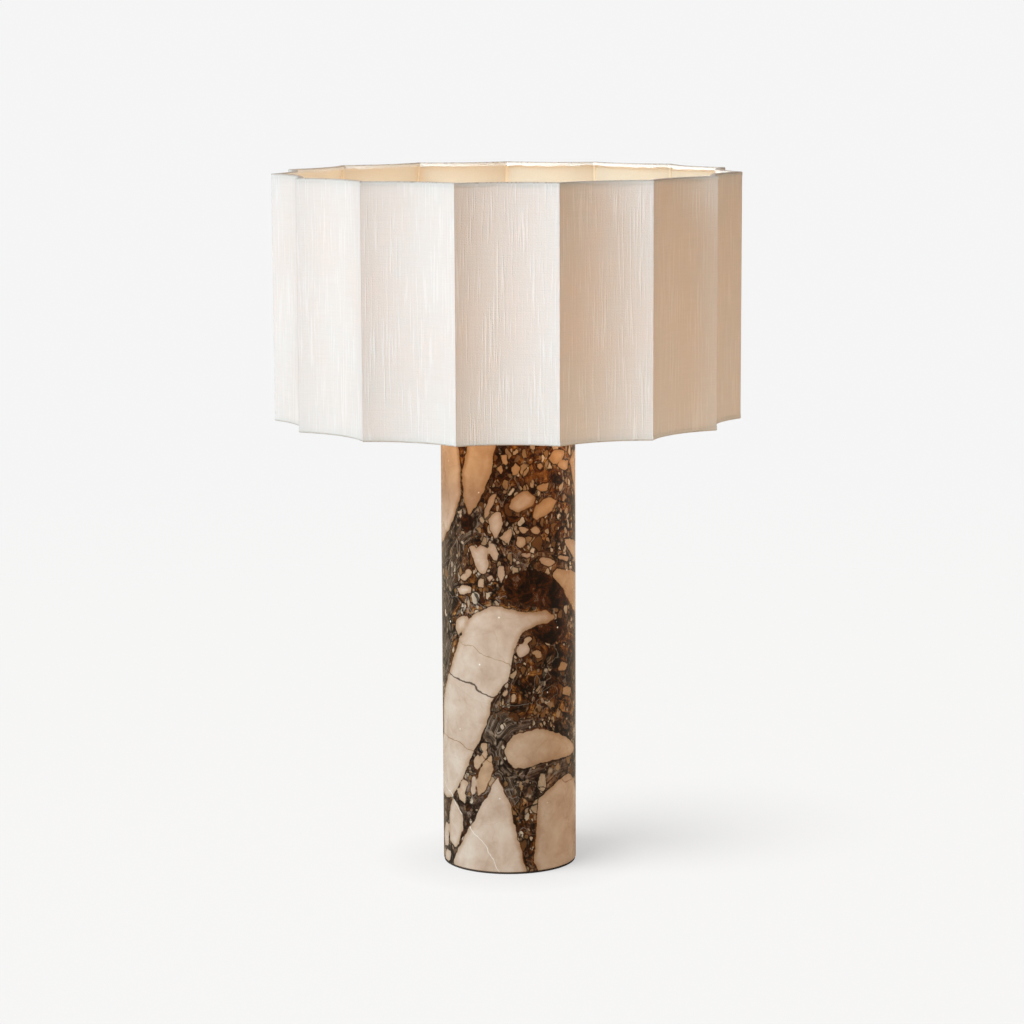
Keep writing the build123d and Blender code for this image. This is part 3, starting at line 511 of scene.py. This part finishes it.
def spinFlute(bm, number, profile, steps):
    # sweeps (inset, height) points along one hollow flute and trims it at its two ridges
    middle = 2 * halfFlute * number
    towards = Vector((math.sin(middle), -math.cos(middle), 0))
    side = Vector((math.cos(middle), math.sin(middle), 0))
    centre = towards * arcCentre * mm
    reach = arcHalf + math.radians(flutes["overrun"])
    start = side * math.sin(reach) - towards * math.cos(reach)
    verts = [bm.verts.new(centre + start * (arcRadius + inset) * mm + Vector((0, 0, z * mm)))
             for inset, z in profile]
    edges = [bm.edges.new(pair) for pair in zip(verts, verts[1:])]
    bmesh.ops.spin(bm, geom=verts + edges, cent=centre, axis=(0, 0, 1), dvec=(0, 0, 0),
                   angle=2 * reach, steps=steps)
    for sign in (1, -1):
        a = middle + sign * halfFlute
        bmesh.ops.bisect_plane(bm, geom=bm.verts[:] + bm.edges[:] + bm.faces[:], plane_co=(0, 0, 0), dist=1e-7,
                               plane_no=Vector((math.cos(a), math.sin(a), 0)) * sign, clear_outer=True)


def repeatFlute(bm):
    # copies the first flute round the shade and joins it at the ridges
    first = bm.verts[:] + bm.edges[:] + bm.faces[:]
    for i in range(1, flutes["count"]):
        copied = bmesh.ops.duplicate(bm, geom=first)["geom"]
        bmesh.ops.rotate(bm, verts=[g for g in copied if isinstance(g, bmesh.types.BMVert)], cent=(0, 0, 0),
                         matrix=Matrix.Rotation(2 * halfFlute * i, 3, "Z"))
    bmesh.ops.remove_doubles(bm, verts=bm.verts, dist=flutes["weld"] * mm)


def unwrapFlutes(bm):
    # UV in metres: along the cloth from each flute's middle, and up; each panel is cut elsewhere on the roll
    layer = bm.loops.layers.uv.new("cloth")
    for face in bm.faces:
        mid = face.calc_center_median()
        number = round(math.atan2(mid.x, -mid.y) / (2 * halfFlute))
        middle = 2 * halfFlute * number
        side = Vector((math.cos(middle), math.sin(middle), 0))
        towards = Vector((math.sin(middle), -math.cos(middle), 0))
        for loop in face.loops:
            p = loop.vert.co
            across = math.atan2(p.dot(side), arcCentre * mm - p.dot(towards)) * arcRadius * mm
            loop[layer].uv = (across, p.z + flutes["panelShift"] * number)


def faceOutwards(bm):
    bmesh.ops.recalc_face_normals(bm, faces=bm.faces)
    total = sum(f.normal.dot(Vector((f.calc_center_median().x, f.calc_center_median().y, 0))) for f in bm.faces)
    if total < 0:
        bmesh.ops.reverse_faces(bm, faces=bm.faces)


def linenMaterial(name, light, shade, glow, through, folded=False):
    # Plain-woven linen, slubby yarn, bleached: matt off-white with long uneven warp threads that catch a
    # raking light, and thin enough for the lamp to warm it from behind.
    material, tree = startMaterial(name)
    cloth = addNode(tree, "UVMap", settings={"uv_map": "cloth"})
    # real threads would be too fine to show from here, so they are drawn about 1 mm wide
    fields = {}
    for kind, scale, place, detail in (
            ("warp", (1050, 34, 1), (0, 0, 0), 3.0), ("slub", (620, 22, 1), (7, 3, 0), 2.0),
            ("weft", (30, 900, 1), (3, 9, 0), 3.0), ("grain", (900, 900, 1), (0, 5, 0), 2.0),
            ("band", (60, 12, 1), (1, 2, 0), 2.0), ("weight", (24, 11, 1), (4, 4, 0), 3.0)):
        moved = addNode(tree, "Mapping", {"Vector": cloth, "Scale": scale, "Location": place})
        fields[kind] = addNode(tree, "TexNoise", {"Vector": moved, "Scale": 1.0, "Detail": detail})
    # slubs come in bunches
    bunch = addNode(tree, "Math", [fields["band"], 0.35, fields["slub"]], "MULTIPLY_ADD")
    slubs = addNode(tree, "MapRange", [bunch, 0.68, 0.9], smooth)
    threads = addNode(tree, "Math", [fields["warp"], 0.6, slubs], "MULTIPLY_ADD")
    crossed = addNode(tree, "Math", [fields["weft"], 0.6, threads], "MULTIPLY_ADD")
    height = addNode(tree, "Math", [fields["grain"], 1.1, crossed], "MULTIPLY_ADD")
    tone = addNode(tree, "MapRange", [crossed, 0.3, 1.3])
    colour = addNode(tree, "Mix", {0: tone, 6: shade, 7: light}, rgba)
    if not folded:
        along = addNode(tree, "SeparateXYZ", {"Vector": cloth})
        across = addNode(tree, "Math", [along.outputs[0]], "ABSOLUTE")
        half = arcHalf * arcRadius
        ridge = addNode(tree, "MapRange", [across, (half - 0.9) * mm, (half - 0.2) * mm, 0.0, 0.35], smooth)
        colour = addNode(tree, "Mix", {0: ridge, 6: colour, 7: "#c9c1b8"}, rgba)
    else:
        # painted shade: the cloth is darker and browner along the fold at the rims, streaked with the slubs
        place = addNode(tree, "TexCoord").outputs["Object"]
        level = addNode(tree, "SeparateXYZ", {"Vector": place}).outputs[2]
        offMiddle = addNode(tree, "Math", [level, (flutes["low"] + flutes["high"]) / 2 * mm], "SUBTRACT")
        apart = addNode(tree, "Math", [offMiddle], "ABSOLUTE")
        half = (flutes["high"] - flutes["low"]) / 2
        fold = addNode(tree, "MapRange", [apart, (half - 1.6) * mm, (half - 0.1) * mm, 0.0, 0.75], smooth)
        fuzz = addNode(tree, "Math", [fold, slubs], "MULTIPLY")
        paintedFoldShade = addNode(tree, "Math", [fold, 0.75, fuzz], "MULTIPLY_ADD")
        colour = addNode(tree, "Mix", {0: paintedFoldShade, 6: colour, 7: "#a5917c"}, rgba)
    bump = addNode(tree, "Bump", {"Height": height, "Strength": 0.5, "Distance": 0.0005})
    cover = addNode(tree, "BsdfPrincipled",
                    {"Base Color": colour, "Roughness": 0.9, "Specular IOR Level": 0.2, "Sheen Weight": 0.15,
                     "Normal": bump})
    glowing = addNode(tree, "BsdfTranslucent", {"Color": glow, "Normal": bump})
    # more light comes through where the yarn is finer
    thinness = addNode(tree, "MapRange", [fields["weight"], 0.3, 0.7, through - 0.025, through + 0.025])
    both = addNode(tree, "MixShader", [thinness, cover, glowing])
    endMaterial(tree, both)
    return material


linen = linenMaterial("bleached slub linen", "#f6f6f5", "#e9e7e4", "#f2a85a", 0.18)
for i in range(flutes["count"]):
    bm = bmesh.new()
    heights = np.linspace(flutes["coverLow"], flutes["coverHigh"], flutes["upward"] + 1)
    spinFlute(bm, i, [(0.2, z) for z in heights], flutes["across"])
    faceOutwards(bm)
    unwrapFlutes(bm)
    panel = addPiece(f"linen_{i + 1:02d}", bm, "shade", linen)
    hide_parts(f"linen_panel_{i + 1:02d}")
print("linen panels done")


def makeHem(side, edge, step):
    # a strip of linen, folded over the ring wire and glued down on both sides; step points in from the edge
    f = flutes
    inner = edge + step * f["hemHeight"]
    outside, inside, middle = f["hemInset"], f["hemInside"], (inner + edge) / 2
    profile = [(outside, inner), (outside, middle), (outside, edge + step * f["roll"]),
               (outside + f["rollIn"], edge + step * f["rollUp"]), (outside + f["roll"], edge),
               (inside - f["roll"], edge), (inside - f["rollIn"], edge + step * f["rollUp"]),
               (inside, edge + step * f["roll"]), (inside, middle), (inside, inner)]
    bm = bmesh.new()
    spinFlute(bm, 0, profile, f["hemAcross"])
    repeatFlute(bm)
    bmesh.ops.recalc_face_normals(bm, faces=bm.faces)
    for v in bm.verts:  # hand-trimmed edge
        if abs(v.co.z - inner * mm) < 1e-6:
            v.co.z += f["trimWander"] * mm * (noise.noise(v.co * 90) + 0.6 * noise.noise(v.co * 260))
    unwrapFlutes(bm)
    piece = addPiece(f"hem_{side}", bm, "shade", hemLinen)
    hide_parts(f"{side}_hem")


hemLinen = linenMaterial("linen edge binding", "#f6f4f1", "#e9e5df", "#f2b270", 0.18, folded=True)
makeHem("upper", flutes["high"], -1)
makeHem("lower", flutes["low"], 1)


def filmMaterial(name, through):
    # PVC film laminated to fine cotton, and the same cotton as a tape wound on the wires: smooth and cream, with
    # the bulb's light coming through
    material, tree = startMaterial(name)
    place = addNode(tree, "TexCoord").outputs["Object"]
    weave = addNode(tree, "TexNoise", {"Vector": place, "Scale": 900.0, "Detail": 2.0})
    tone = addNode(tree, "ValToRGB", [weave], {"stops": [(0.3, "#efe9df"), (0.7, "#f5f1ea")]})
    bump = addNode(tree, "Bump", {"Height": weave, "Strength": 0.2, "Distance": 0.0002})
    film = addNode(tree, "BsdfPrincipled", {"Base Color": tone, "Roughness": 0.6, "Normal": bump})
    glowing = addNode(tree, "BsdfTranslucent", {"Color": "#f8e6cc"})
    both = addNode(tree, "MixShader", [through, film, glowing])
    endMaterial(tree, both)
    return material


def makeLining(material):
    f = flutes
    bm = bmesh.new()
    heights = np.linspace(f["coverLow"], f["coverHigh"], f["liningUpward"] + 1)
    spinFlute(bm, 0, [(f["liningInset"], z) for z in heights], f["across"])
    repeatFlute(bm)
    faceOutwards(bm)
    unwrapFlutes(bm)
    piece = addPiece("shade_lining", bm, "shade", material)
    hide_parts("lining")


liningFilm = filmMaterial("cream shade film", 0.42)
wireTape = filmMaterial("cream cotton tape on wire", 0.5)
makeLining(liningFilm)
print("shade done")


# Lampholder and bulb, sizes in mm. A thread is (low, high, pitch, depth), and goes inwards where its depth is
# negative; both is for walls that are rolled, so that the inside follows.
fittings = {
    "endGap": 0.3, "chamfer": 0.15,  # at the ends of every threaded tube
    "skirt": {"outer": 20, "inner": 18.2, "low": 432.5, "high": 467, "thread": (434, 464.5, 2.0, -0.45),
              "both": False},
    "cap": {"outer": 13.2, "inner": 12.7, "low": 450.3, "high": 469.3, "thread": (452.8, 464.6, 3.63, -0.85),
            "both": True},
    "shell": {"outer": 13.9, "inner": 13.5, "low": 446, "high": 467, "thread": (451, 466, 3.63, 0.8),
              "both": True},
    "rod": {"outer": 5, "inner": 3.5, "low": 15.3, "high": 414.5, "thread": (15.8, 414, 1.0, -0.28),
            "both": False},
    "glass": {"radius": 30, "neck": 12.5, "foot": 465.3, "neckTop": 479.3, "centre": 522.3, "wall": 0.8,
              "steps": 24},
    "knob": {"start": 23.1, "hub": 28.1, "end": 39.1, "height": 425.5, "width": 12, "thick": 3.2, "corner": 4.0,
             "sunk": 2.5, "edge": 0.5,
             "hubProfile": [(2.0, 0), (3.5, 0), (3.8, 0.3), (3.8, 4.2), (3.55, 4.8), (3.0, 5.0), (2.0, 5.0)]},
}


def makeThreaded(key, name, node, body, material, steps=72):
    # a tube with a rolled or cut screw thread on it
    f, gap, chamfer = fittings[key], fittings["endGap"], fittings["chamfer"]
    low, high, pitch, depth = f["thread"]
    turns = np.arange(low, high, pitch / 8 if pitch > 1 else pitch / 4)
    heights = [f["low"] + gap, *turns, high, f["high"] - gap]
    profile = [(f["outer"], z) for z in heights] + [(f["outer"] - chamfer, f["high"]), (f["inner"], f["high"])]
    innerHeights = heights[::-1] if f["both"] else []
    profile += [(f["inner"], z) for z in innerHeights]
    profile += [(f["inner"], f["low"]), (f["outer"] - chamfer, f["low"])]
    bm = bmesh.new()
    spinProfile(bm, profile, steps)
    middle = (f["outer"] + f["inner"]) / 2 * mm
    for v in bm.verts:
        radius, z = math.hypot(v.co.x, v.co.y), v.co.z / mm
        if low < z < high and (f["both"] or radius > middle):
            wave = 0.5 - 0.5 * math.cos(math.tau * (z / pitch) - math.atan2(v.co.y, v.co.x))
            runOut = min(1, (z - low) / pitch, (high - z) / pitch)
            scale = 1 + depth * mm * wave * runOut / radius
            v.co.x *= scale
            v.co.y *= scale
    piece = addPiece(name, bm, body, material, sharpAngle=50)
    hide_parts(node)


def makeBulbGlass(material):
    # blown bulb: straight neck, a swelling curve and a round top, with a wall
    f = fittings["glass"]
    outline = []
    for inset in (0, f["wall"]):
        neck, radius = f["neck"] - inset, f["radius"] - inset
        points = [(neck, f["foot"]), (neck, f["neckTop"])]
        rise = f["centre"] - f["neckTop"]
        for i in range(1, f["steps"]):
            t = i / f["steps"]
            points.append((neck + (radius - neck) * t * t * (3 - 2 * t), f["neckTop"] + rise * t))
        for i in range(f["steps"] + 1):
            a = math.radians(90 * i / f["steps"])
            points.append((max(0.0, radius * math.cos(a)), f["centre"] + radius * math.sin(a)))
        outline += points if inset == 0 else points[::-1]
    bm = bmesh.new()
    spinProfile(bm, outline, 72)
    piece = addPiece("bulb_envelope", bm, "bulb", material, sharpAngle=60)
    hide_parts("bulb_glass")
    return piece


def makeKnob(material):
    # moulded switch knob: a round hub and a flat blade, every edge rounded
    f = fittings["knob"]
    bm = bmesh.new()
    length = f["end"] - f["hub"] + f["sunk"]
    middle = Matrix.Translation(((f["end"] - length / 2) * mm, 0, f["height"] * mm))
    blade = Matrix.Diagonal((length * mm, f["thick"] * mm, f["width"] * mm, 1))
    bmesh.ops.create_cube(bm, size=1, matrix=middle @ blade)
    corners = [e for e in bm.edges if abs(e.verts[0].co.y - e.verts[1].co.y) > f["thick"] * mm / 2]
    bmesh.ops.bevel(bm, geom=corners, offset=f["corner"] * mm, offset_type="OFFSET", affect="EDGES",
                    segments=8, profile=0.5, material=-1)
    # then every other edge
    sharp = [e for e in bm.edges if len(e.link_faces) == 2 and e.calc_face_angle(0) > math.radians(50)]
    bmesh.ops.bevel(bm, geom=sharp, offset=f["edge"] * mm, offset_type="OFFSET", affect="EDGES",
                    segments=3, profile=0.5, material=-1, clamp_overlap=True)
    hub = bmesh.new()
    spinProfile(hub, f["hubProfile"], 40)
    bmesh.ops.rotate(hub, verts=hub.verts, cent=(0, 0, 0), matrix=Matrix.Rotation(math.pi / 2, 3, "Y"))
    bmesh.ops.translate(hub, verts=hub.verts, vec=(f["start"] * mm, 0, f["height"] * mm))
    hubMesh = bpy.data.meshes.new("hub")
    hub.to_mesh(hubMesh)
    hub.free()
    bm.from_mesh(hubMesh)
    bpy.data.meshes.remove(hubMesh)
    piece = addPiece("knob_moulding", bm, "knob", material, sharpAngle=50)
    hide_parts("switch_knob")


def plainFinish(name, colour, roughness, metallic=0.0, grit=400.0, depth=0.00003, spread=0.08, coat=0.0):
    # base for the small parts: a colour that wanders a little, and the fine surface that the making leaves
    material, tree = startMaterial(name)
    place = addNode(tree, "TexCoord").outputs["Object"]
    mist = addNode(tree, "TexNoise", {"Vector": place, "Scale": 60.0, "Detail": 4.0})
    grain = addNode(tree, "TexNoise", {"Vector": place, "Scale": grit, "Detail": 3.0})
    darker = addNode(tree, "HueSaturation", {"Color": colour, "Value": 1 - 2 * spread})
    tone = addNode(tree, "Mix", {0: mist, 6: darker, 7: colour}, rgba)
    worn = addNode(tree, "MapRange", [grain, 0.0, 1.0, max(0.02, roughness - 0.07), min(1.0, roughness + 0.07)])
    bump = addNode(tree, "Bump", {"Height": grain, "Strength": 0.4, "Distance": depth})
    shader = addNode(tree, "BsdfPrincipled",
                     {"Base Color": tone, "Roughness": worn, "Metallic": metallic, "Coat Weight": coat,
                      "Normal": bump})
    endMaterial(tree, shader)
    return material


def glassMaterial():
    # clear blown soda-lime glass: sharp reflections and a faint green cast at the rim
    material, tree = startMaterial("clear blown soda glass")
    place = addNode(tree, "TexCoord").outputs["Object"]
    draw = addNode(tree, "TexNoise", {"Vector": place, "Scale": 30.0, "Detail": 1.0})
    gloss = addNode(tree, "MapRange", [draw, 0.0, 1.0, 0.0, 0.03])
    shader = addNode(tree, "BsdfPrincipled",
                     {"Base Color": "#fbfdf9", "Roughness": gloss, "IOR": 1.46, "Transmission Weight": 1.0})
    endMaterial(tree, shader)
    return material


def filamentMaterial():
    # glass rods coated with yellow phosphor, alight
    material, tree = startMaterial("phosphor-coated filament, alight")
    place = addNode(tree, "TexCoord").outputs["Object"]
    beads = addNode(tree, "TexNoise", {"Vector": place, "Scale": 900.0, "Detail": 2.0})
    tone = addNode(tree, "ValToRGB", [beads], {"stops": [(0.35, "#f0b040"), (0.65, "#ffd27a")]})
    shader = addNode(tree, "BsdfPrincipled",
                     {"Base Color": tone, "Roughness": 0.5, "Emission Color": tone, "Emission Strength": 2.5})
    endMaterial(tree, shader)
    return material


finishes = {
    # pressed wool: matt all over, lumpy at the scale of its fibres
    "felt": plainFinish("wool felt pad", "#3f332c", 0.95, grit=1500.0, depth=0.0004, spread=0.2),
    # turned and lacquered: even and warm, soft highlights
    "brass": plainFinish("turned brass, lacquered", "#b98f4a", 0.3, 1.0),
    # stamped and left bare: paler and a little duller
    "contact_brass": plainFinish("stamped brass contacts", "#c9a55f", 0.35, 1.0),
    # electroplated zinc: cool grey, slightly cloudy
    "zinc_steel": plainFinish("zinc-plated steel", "#a9adb0", 0.38, 1.0),
    # plated on polished brass: warm silver, the clearest metal here
    "nickel": plainFinish("nickel-plated brass", "#c4c2bb", 0.25, 1.0),
    # fired glaze: smooth off-white under a wet shine
    "porcelain": plainFinish("glazed porcelain", "#efede6", 0.18, coat=0.5),
    # pressed in a polished mould: near black, satin
    "black_plastic": plainFinish("moulded phenolic", "#17161a", 0.35),
    # moulded rubber: black and almost without highlights
    "rubber": plainFinish("nitrile rubber", "#1b1b1b", 0.7),
    # stoved enamel: even white with a thin gloss
    "white_paint": plainFinish("white stove enamel on steel wire", "#ece9e2", 0.35, coat=0.2),
    "bulb_glass": glassMaterial(),
    # fused glass: black with hard reflections
    "black_glass": plainFinish("black vitrite glass", "#101012", 0.15),
    # set from a melt: dull grey skin
    "solder": plainFinish("lead-free solder", "#9a9a96", 0.45, 1.0),
    "filament": filamentMaterial(),
    "linen": linen, "hem_linen": hemLinen, "lining": liningFilm, "stone": stoneColumn.data.materials[0],
}
slots = {entry["node"]: entry["material_slot"] for entry in frame["record"]["subparts"]}
for key, name, node, body in (("skirt", "threaded_skirt", "holder_skirt", "base"),
                              ("shell", "rolled_screw_shell", "screw_shell", "base"),
                              ("rod", "threaded_tube", "threaded_rod", "base"),
                              ("cap", "rolled_bulb_cap", "bulb_cap", "bulb")):
    makeThreaded(key, name, node, body, finishes[slots[node]], steps=28 if key == "rod" else 72)
envelope = makeBulbGlass(finishes["bulb_glass"])
makeKnob(finishes[slots["switch_knob"]])
print("threads, bulb glass and knob done")

boundWires = ("upper_ring_wire", "lower_ring_wire", "uprights")  # the frame's wires are wound with cotton tape
for name, node in nodes.items():
    if name in slots:
        node.data.materials.clear()
        node.data.materials.append(wireTape if name in boundWires else finishes[slots[name]])
print("finishes on carried-over parts:", len(slots))


# The floor, in metres; footShade, footFrom and footTo give the painted shade round the foot
stage = {"floorRadius": 4.0, "fadeFrom": 0.9, "fadeTo": 2.6, "pale": 0.915, "bounce": "#958c7a",
         "shadowDepth": 0.153, "lift": 0.63, "footShade": 0.085, "footFrom": 0.058, "footTo": 0.12,
         "below": 0.0002, "sides": 96}


def makeFloor():
    bm = bmesh.new()
    # a hair below the felt, so that the two don't lie in one plane
    bmesh.ops.create_circle(bm, cap_ends=True, segments=stage["sides"], radius=stage["floorRadius"],
                            matrix=Matrix.Translation((0, 0, -stage["below"])))
    mesh = bpy.data.meshes.new("floor")
    bm.to_mesh(mesh)
    bm.free()
    floor = bpy.data.objects.new("floor", mesh)
    bpy.context.scene.collection.objects.link(floor)
    material, tree = startMaterial("painted studio floor")
    path = addNode(tree, "LightPath")
    shown = addNode(tree, "Math", [path.outputs["Is Camera Ray"], path.outputs["Is Transmission Ray"]],
                    "MAXIMUM")
    paint = addNode(tree, "BsdfDiffuse", {"Color": stage["bounce"]})
    depth = stage["shadowDepth"]
    thin = addNode(tree, "BsdfDiffuse", {"Color": (depth, depth, depth, 1)})
    place = addNode(tree, "TexCoord").outputs["Object"]
    away = addNode(tree, "VectorMath", [place], "LENGTH")
    # painted shade and reflection: the floor's glow is a little lower close round the foot
    near = addNode(tree, "MapRange", [away, stage["footFrom"], stage["footTo"],
                                      stage["lift"] - stage["footShade"], stage["lift"]])
    white = addNode(tree, "Emission", {"Color": (1, 1, 1, 1), "Strength": near})
    pale = addNode(tree, "AddShader", [thin, white])
    both = addNode(tree, "MixShader", [shown, paint, pale])
    # it fades into the backdrop, and is clear from below
    clear = addNode(tree, "BsdfTransparent")
    side = addNode(tree, "NewGeometry")
    fade = addNode(tree, "MapRange", [away, stage["fadeFrom"], stage["fadeTo"]], smooth)
    fadeSeen = addNode(tree, "Math", [fade, shown], "MULTIPLY")
    gone = addNode(tree, "Math", [fadeSeen, side.outputs["Backfacing"]], "MAXIMUM")
    oneSided = addNode(tree, "MixShader", [gone, both, clear])
    endMaterial(tree, oneSided)
    floor.data.materials.append(material)
    floor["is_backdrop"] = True
    return floor


floor = makeFloor()


def addLamp(name, kind, colour, energy, place, aim=None, **settings):
    lamp = bpy.data.lights.new(name, kind)
    lamp.color, lamp.energy = colour, energy
    for key, value in settings.items():
        setattr(lamp, key, value)
    lampObject = bpy.data.objects.new(name, lamp)
    lampObject.location = place
    if aim is not None:
        lampObject.rotation_euler = (Vector(aim) - Vector(place)).to_track_quat("-Z", "Y").to_euler()
    bpy.context.scene.collection.objects.link(lampObject)
    return lampObject


def fromSide(side, rise):
    side, rise = math.radians(side), math.radians(rise)
    return Vector((math.sin(side) * math.cos(rise), -math.cos(side) * math.cos(rise), math.sin(rise))) * 4


# suns: colour, power, degrees round from the camera, degrees up, and how wide the sun looks
suns = {
    "key": ((0.755, 0.955, 1.09), 3.42, -52, 34, 34),
    "key_inside": ((0.5, 0.92, 1.13), 1.3, -52, 34, 34),
    "floor_key": ((1, 1, 1), 5.8, -56, 64, 31),
    "warm_fill": ((1.0, 0.67, 0.42), 0.6, 62, 11, 50),
    "back_fill": ((1.0, 0.97, 0.93), 0.95, 165, 20, 40),
    "side_rim": ((1.0, 0.95, 0.88), 1.0, 112, 8, 20),
}
# the other lamps, and the light from the surroundings; places in metres
lamps = {
    "bulb": {"colour": (1.0, 0.99, 0.86), "power": 2.65, "height": 0.466, "size": 0.022},
    "card": {"colour": (1.0, 0.84, 0.66), "power": 1.2, "place": (0.44, -0.38, 0.05), "aim": (0.15, -0.1, 0.45),
             "size": 0.3},
    "bounce": {"colour": (1.0, 0.56, 0.24), "power": 0.46, "count": 4, "radius": 0.15, "height": 0.445,
               "size": 0.03},
    "world": {"colour": (1, 0.9, 0.76, 1), "power": 0.27},
}
lights = {}
for name, (colour, power, side, rise, wide) in suns.items():
    lights[name] = addLamp(name, "SUN", colour, power, fromSide(side, rise), (0, 0, 0),
                           angle=math.radians(wide))
lamp = lamps["bulb"]
glow = addLamp("bulb_light", "POINT", lamp["colour"], lamp["power"], (0, 0, lamp["height"]),
               shadow_soft_size=lamp["size"])
lamp = lamps["card"]
card = addLamp("warm_card", "AREA", lamp["colour"], lamp["power"], lamp["place"], lamp["aim"],
               size=lamp["size"])
# the bulb's light as the lining throws it down and round
lamp = lamps["bounce"]
bounces = []
for i in range(lamp["count"]):
    turn = math.tau * (i + 0.5) / lamp["count"]
    bounce = addLamp(f"lining_bounce_{i + 1}", "POINT", lamp["colour"], lamp["power"],
                     (lamp["radius"] * math.sin(turn), -lamp["radius"] * math.cos(turn), lamp["height"]),
                     shadow_soft_size=lamp["size"])
    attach(bounce, "base")
    bounces.append(bounce)
for light in [glow, card] + bounces:
    light.visible_camera = light.visible_glossy = light.visible_transmission = False
# it stays with the holder, so that the lining is lit alike when the bulb is raised
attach(glow, "base")
# the bulb's glass and the uprights throw no shadow, so the lamp in the bulb lights the whole shade
envelope.visible_shadow = nodes["uprights"].visible_shadow = False

# What each lamp lights. The key lights the lamp's outside, a weaker twin lights the inside wall, and another
# lights the floor, where only the column throws a shadow.
inside = ("shade_lining", "uprights")
litPieces = {
    "lamp_lit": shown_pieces(),
    "floor_lit": [floor],
    "floor_shadow": [stoneColumn],
    "lining_lit": [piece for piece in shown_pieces() if piece.name in inside],
    "outside_lit": [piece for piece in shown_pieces() if piece.name not in inside],
    "shade_lit": [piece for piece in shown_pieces() if piece.name.startswith(("linen", "hem"))],
}
sets = {}
for name, members in litPieces.items():
    sets[name] = bpy.data.collections.new(name)
    for piece in members:
        sets[name].objects.link(piece)
receivers = [(glow, "lamp_lit"), (lights["back_fill"], "lamp_lit"), (lights["key_inside"], "lining_lit"),
             (lights["key"], "outside_lit"), (card, "shade_lit"), (lights["floor_key"], "floor_lit")]
receivers += [(light, "floor_shadow") for light in bounces + [lights["side_rim"], lights["warm_fill"]]]
for light, name in receivers:
    light.light_linking.receiver_collection = sets[name]
lights["floor_key"].light_linking.blocker_collection = sets["floor_shadow"]

world = bpy.data.worlds.new("studio")
bpy.context.scene.world = world
world.use_nodes = True
world.node_tree.nodes.clear()
worldTree = world.node_tree
path = addNode(worldTree, "LightPath")
shown = addNode(worldTree, "Math", [path.outputs["Is Camera Ray"], path.outputs["Is Transmission Ray"]],
                "MAXIMUM")
lamp = lamps["world"]
ambient = addNode(worldTree, "Background", {"Color": lamp["colour"], "Strength": lamp["power"]})
backdrop = addNode(worldTree, "Background", {"Color": (1, 1, 1, 1), "Strength": stage["pale"]})
skyMix = addNode(worldTree, "MixShader", [shown, ambient, backdrop])
addNode(worldTree, "OutputWorld", {"Surface": skyMix})

# from a fit to the photo; lengths in metres, angles in radians
cameraSet = {"lens": 109.09, "sensor": 36, "clip": 100, "back": 2.6509, "height": 0.7219, "pitch": 0.1553,
             "yaw": -0.0012, "roll": -0.0045}
cameraData = bpy.data.cameras.new("camera")
cameraData.lens, cameraData.sensor_width = cameraSet["lens"], cameraSet["sensor"]
cameraData.clip_end = cameraSet["clip"]
camera = bpy.data.objects.new("camera", cameraData)
bpy.context.scene.collection.objects.link(camera)
camera.rotation_mode = "QUATERNION"
camera.matrix_world = (Matrix.Translation((0, -cameraSet["back"], cameraSet["height"]))
                       @ Matrix.Rotation(cameraSet["yaw"], 4, "Z")
                       @ Matrix.Rotation(math.pi / 2 - cameraSet["pitch"], 4, "X")
                       @ Matrix.Rotation(cameraSet["roll"], 4, "Z"))
bpy.context.scene.camera = camera
bpy.context.scene.view_settings.view_transform = "Standard"

print("scene ready")
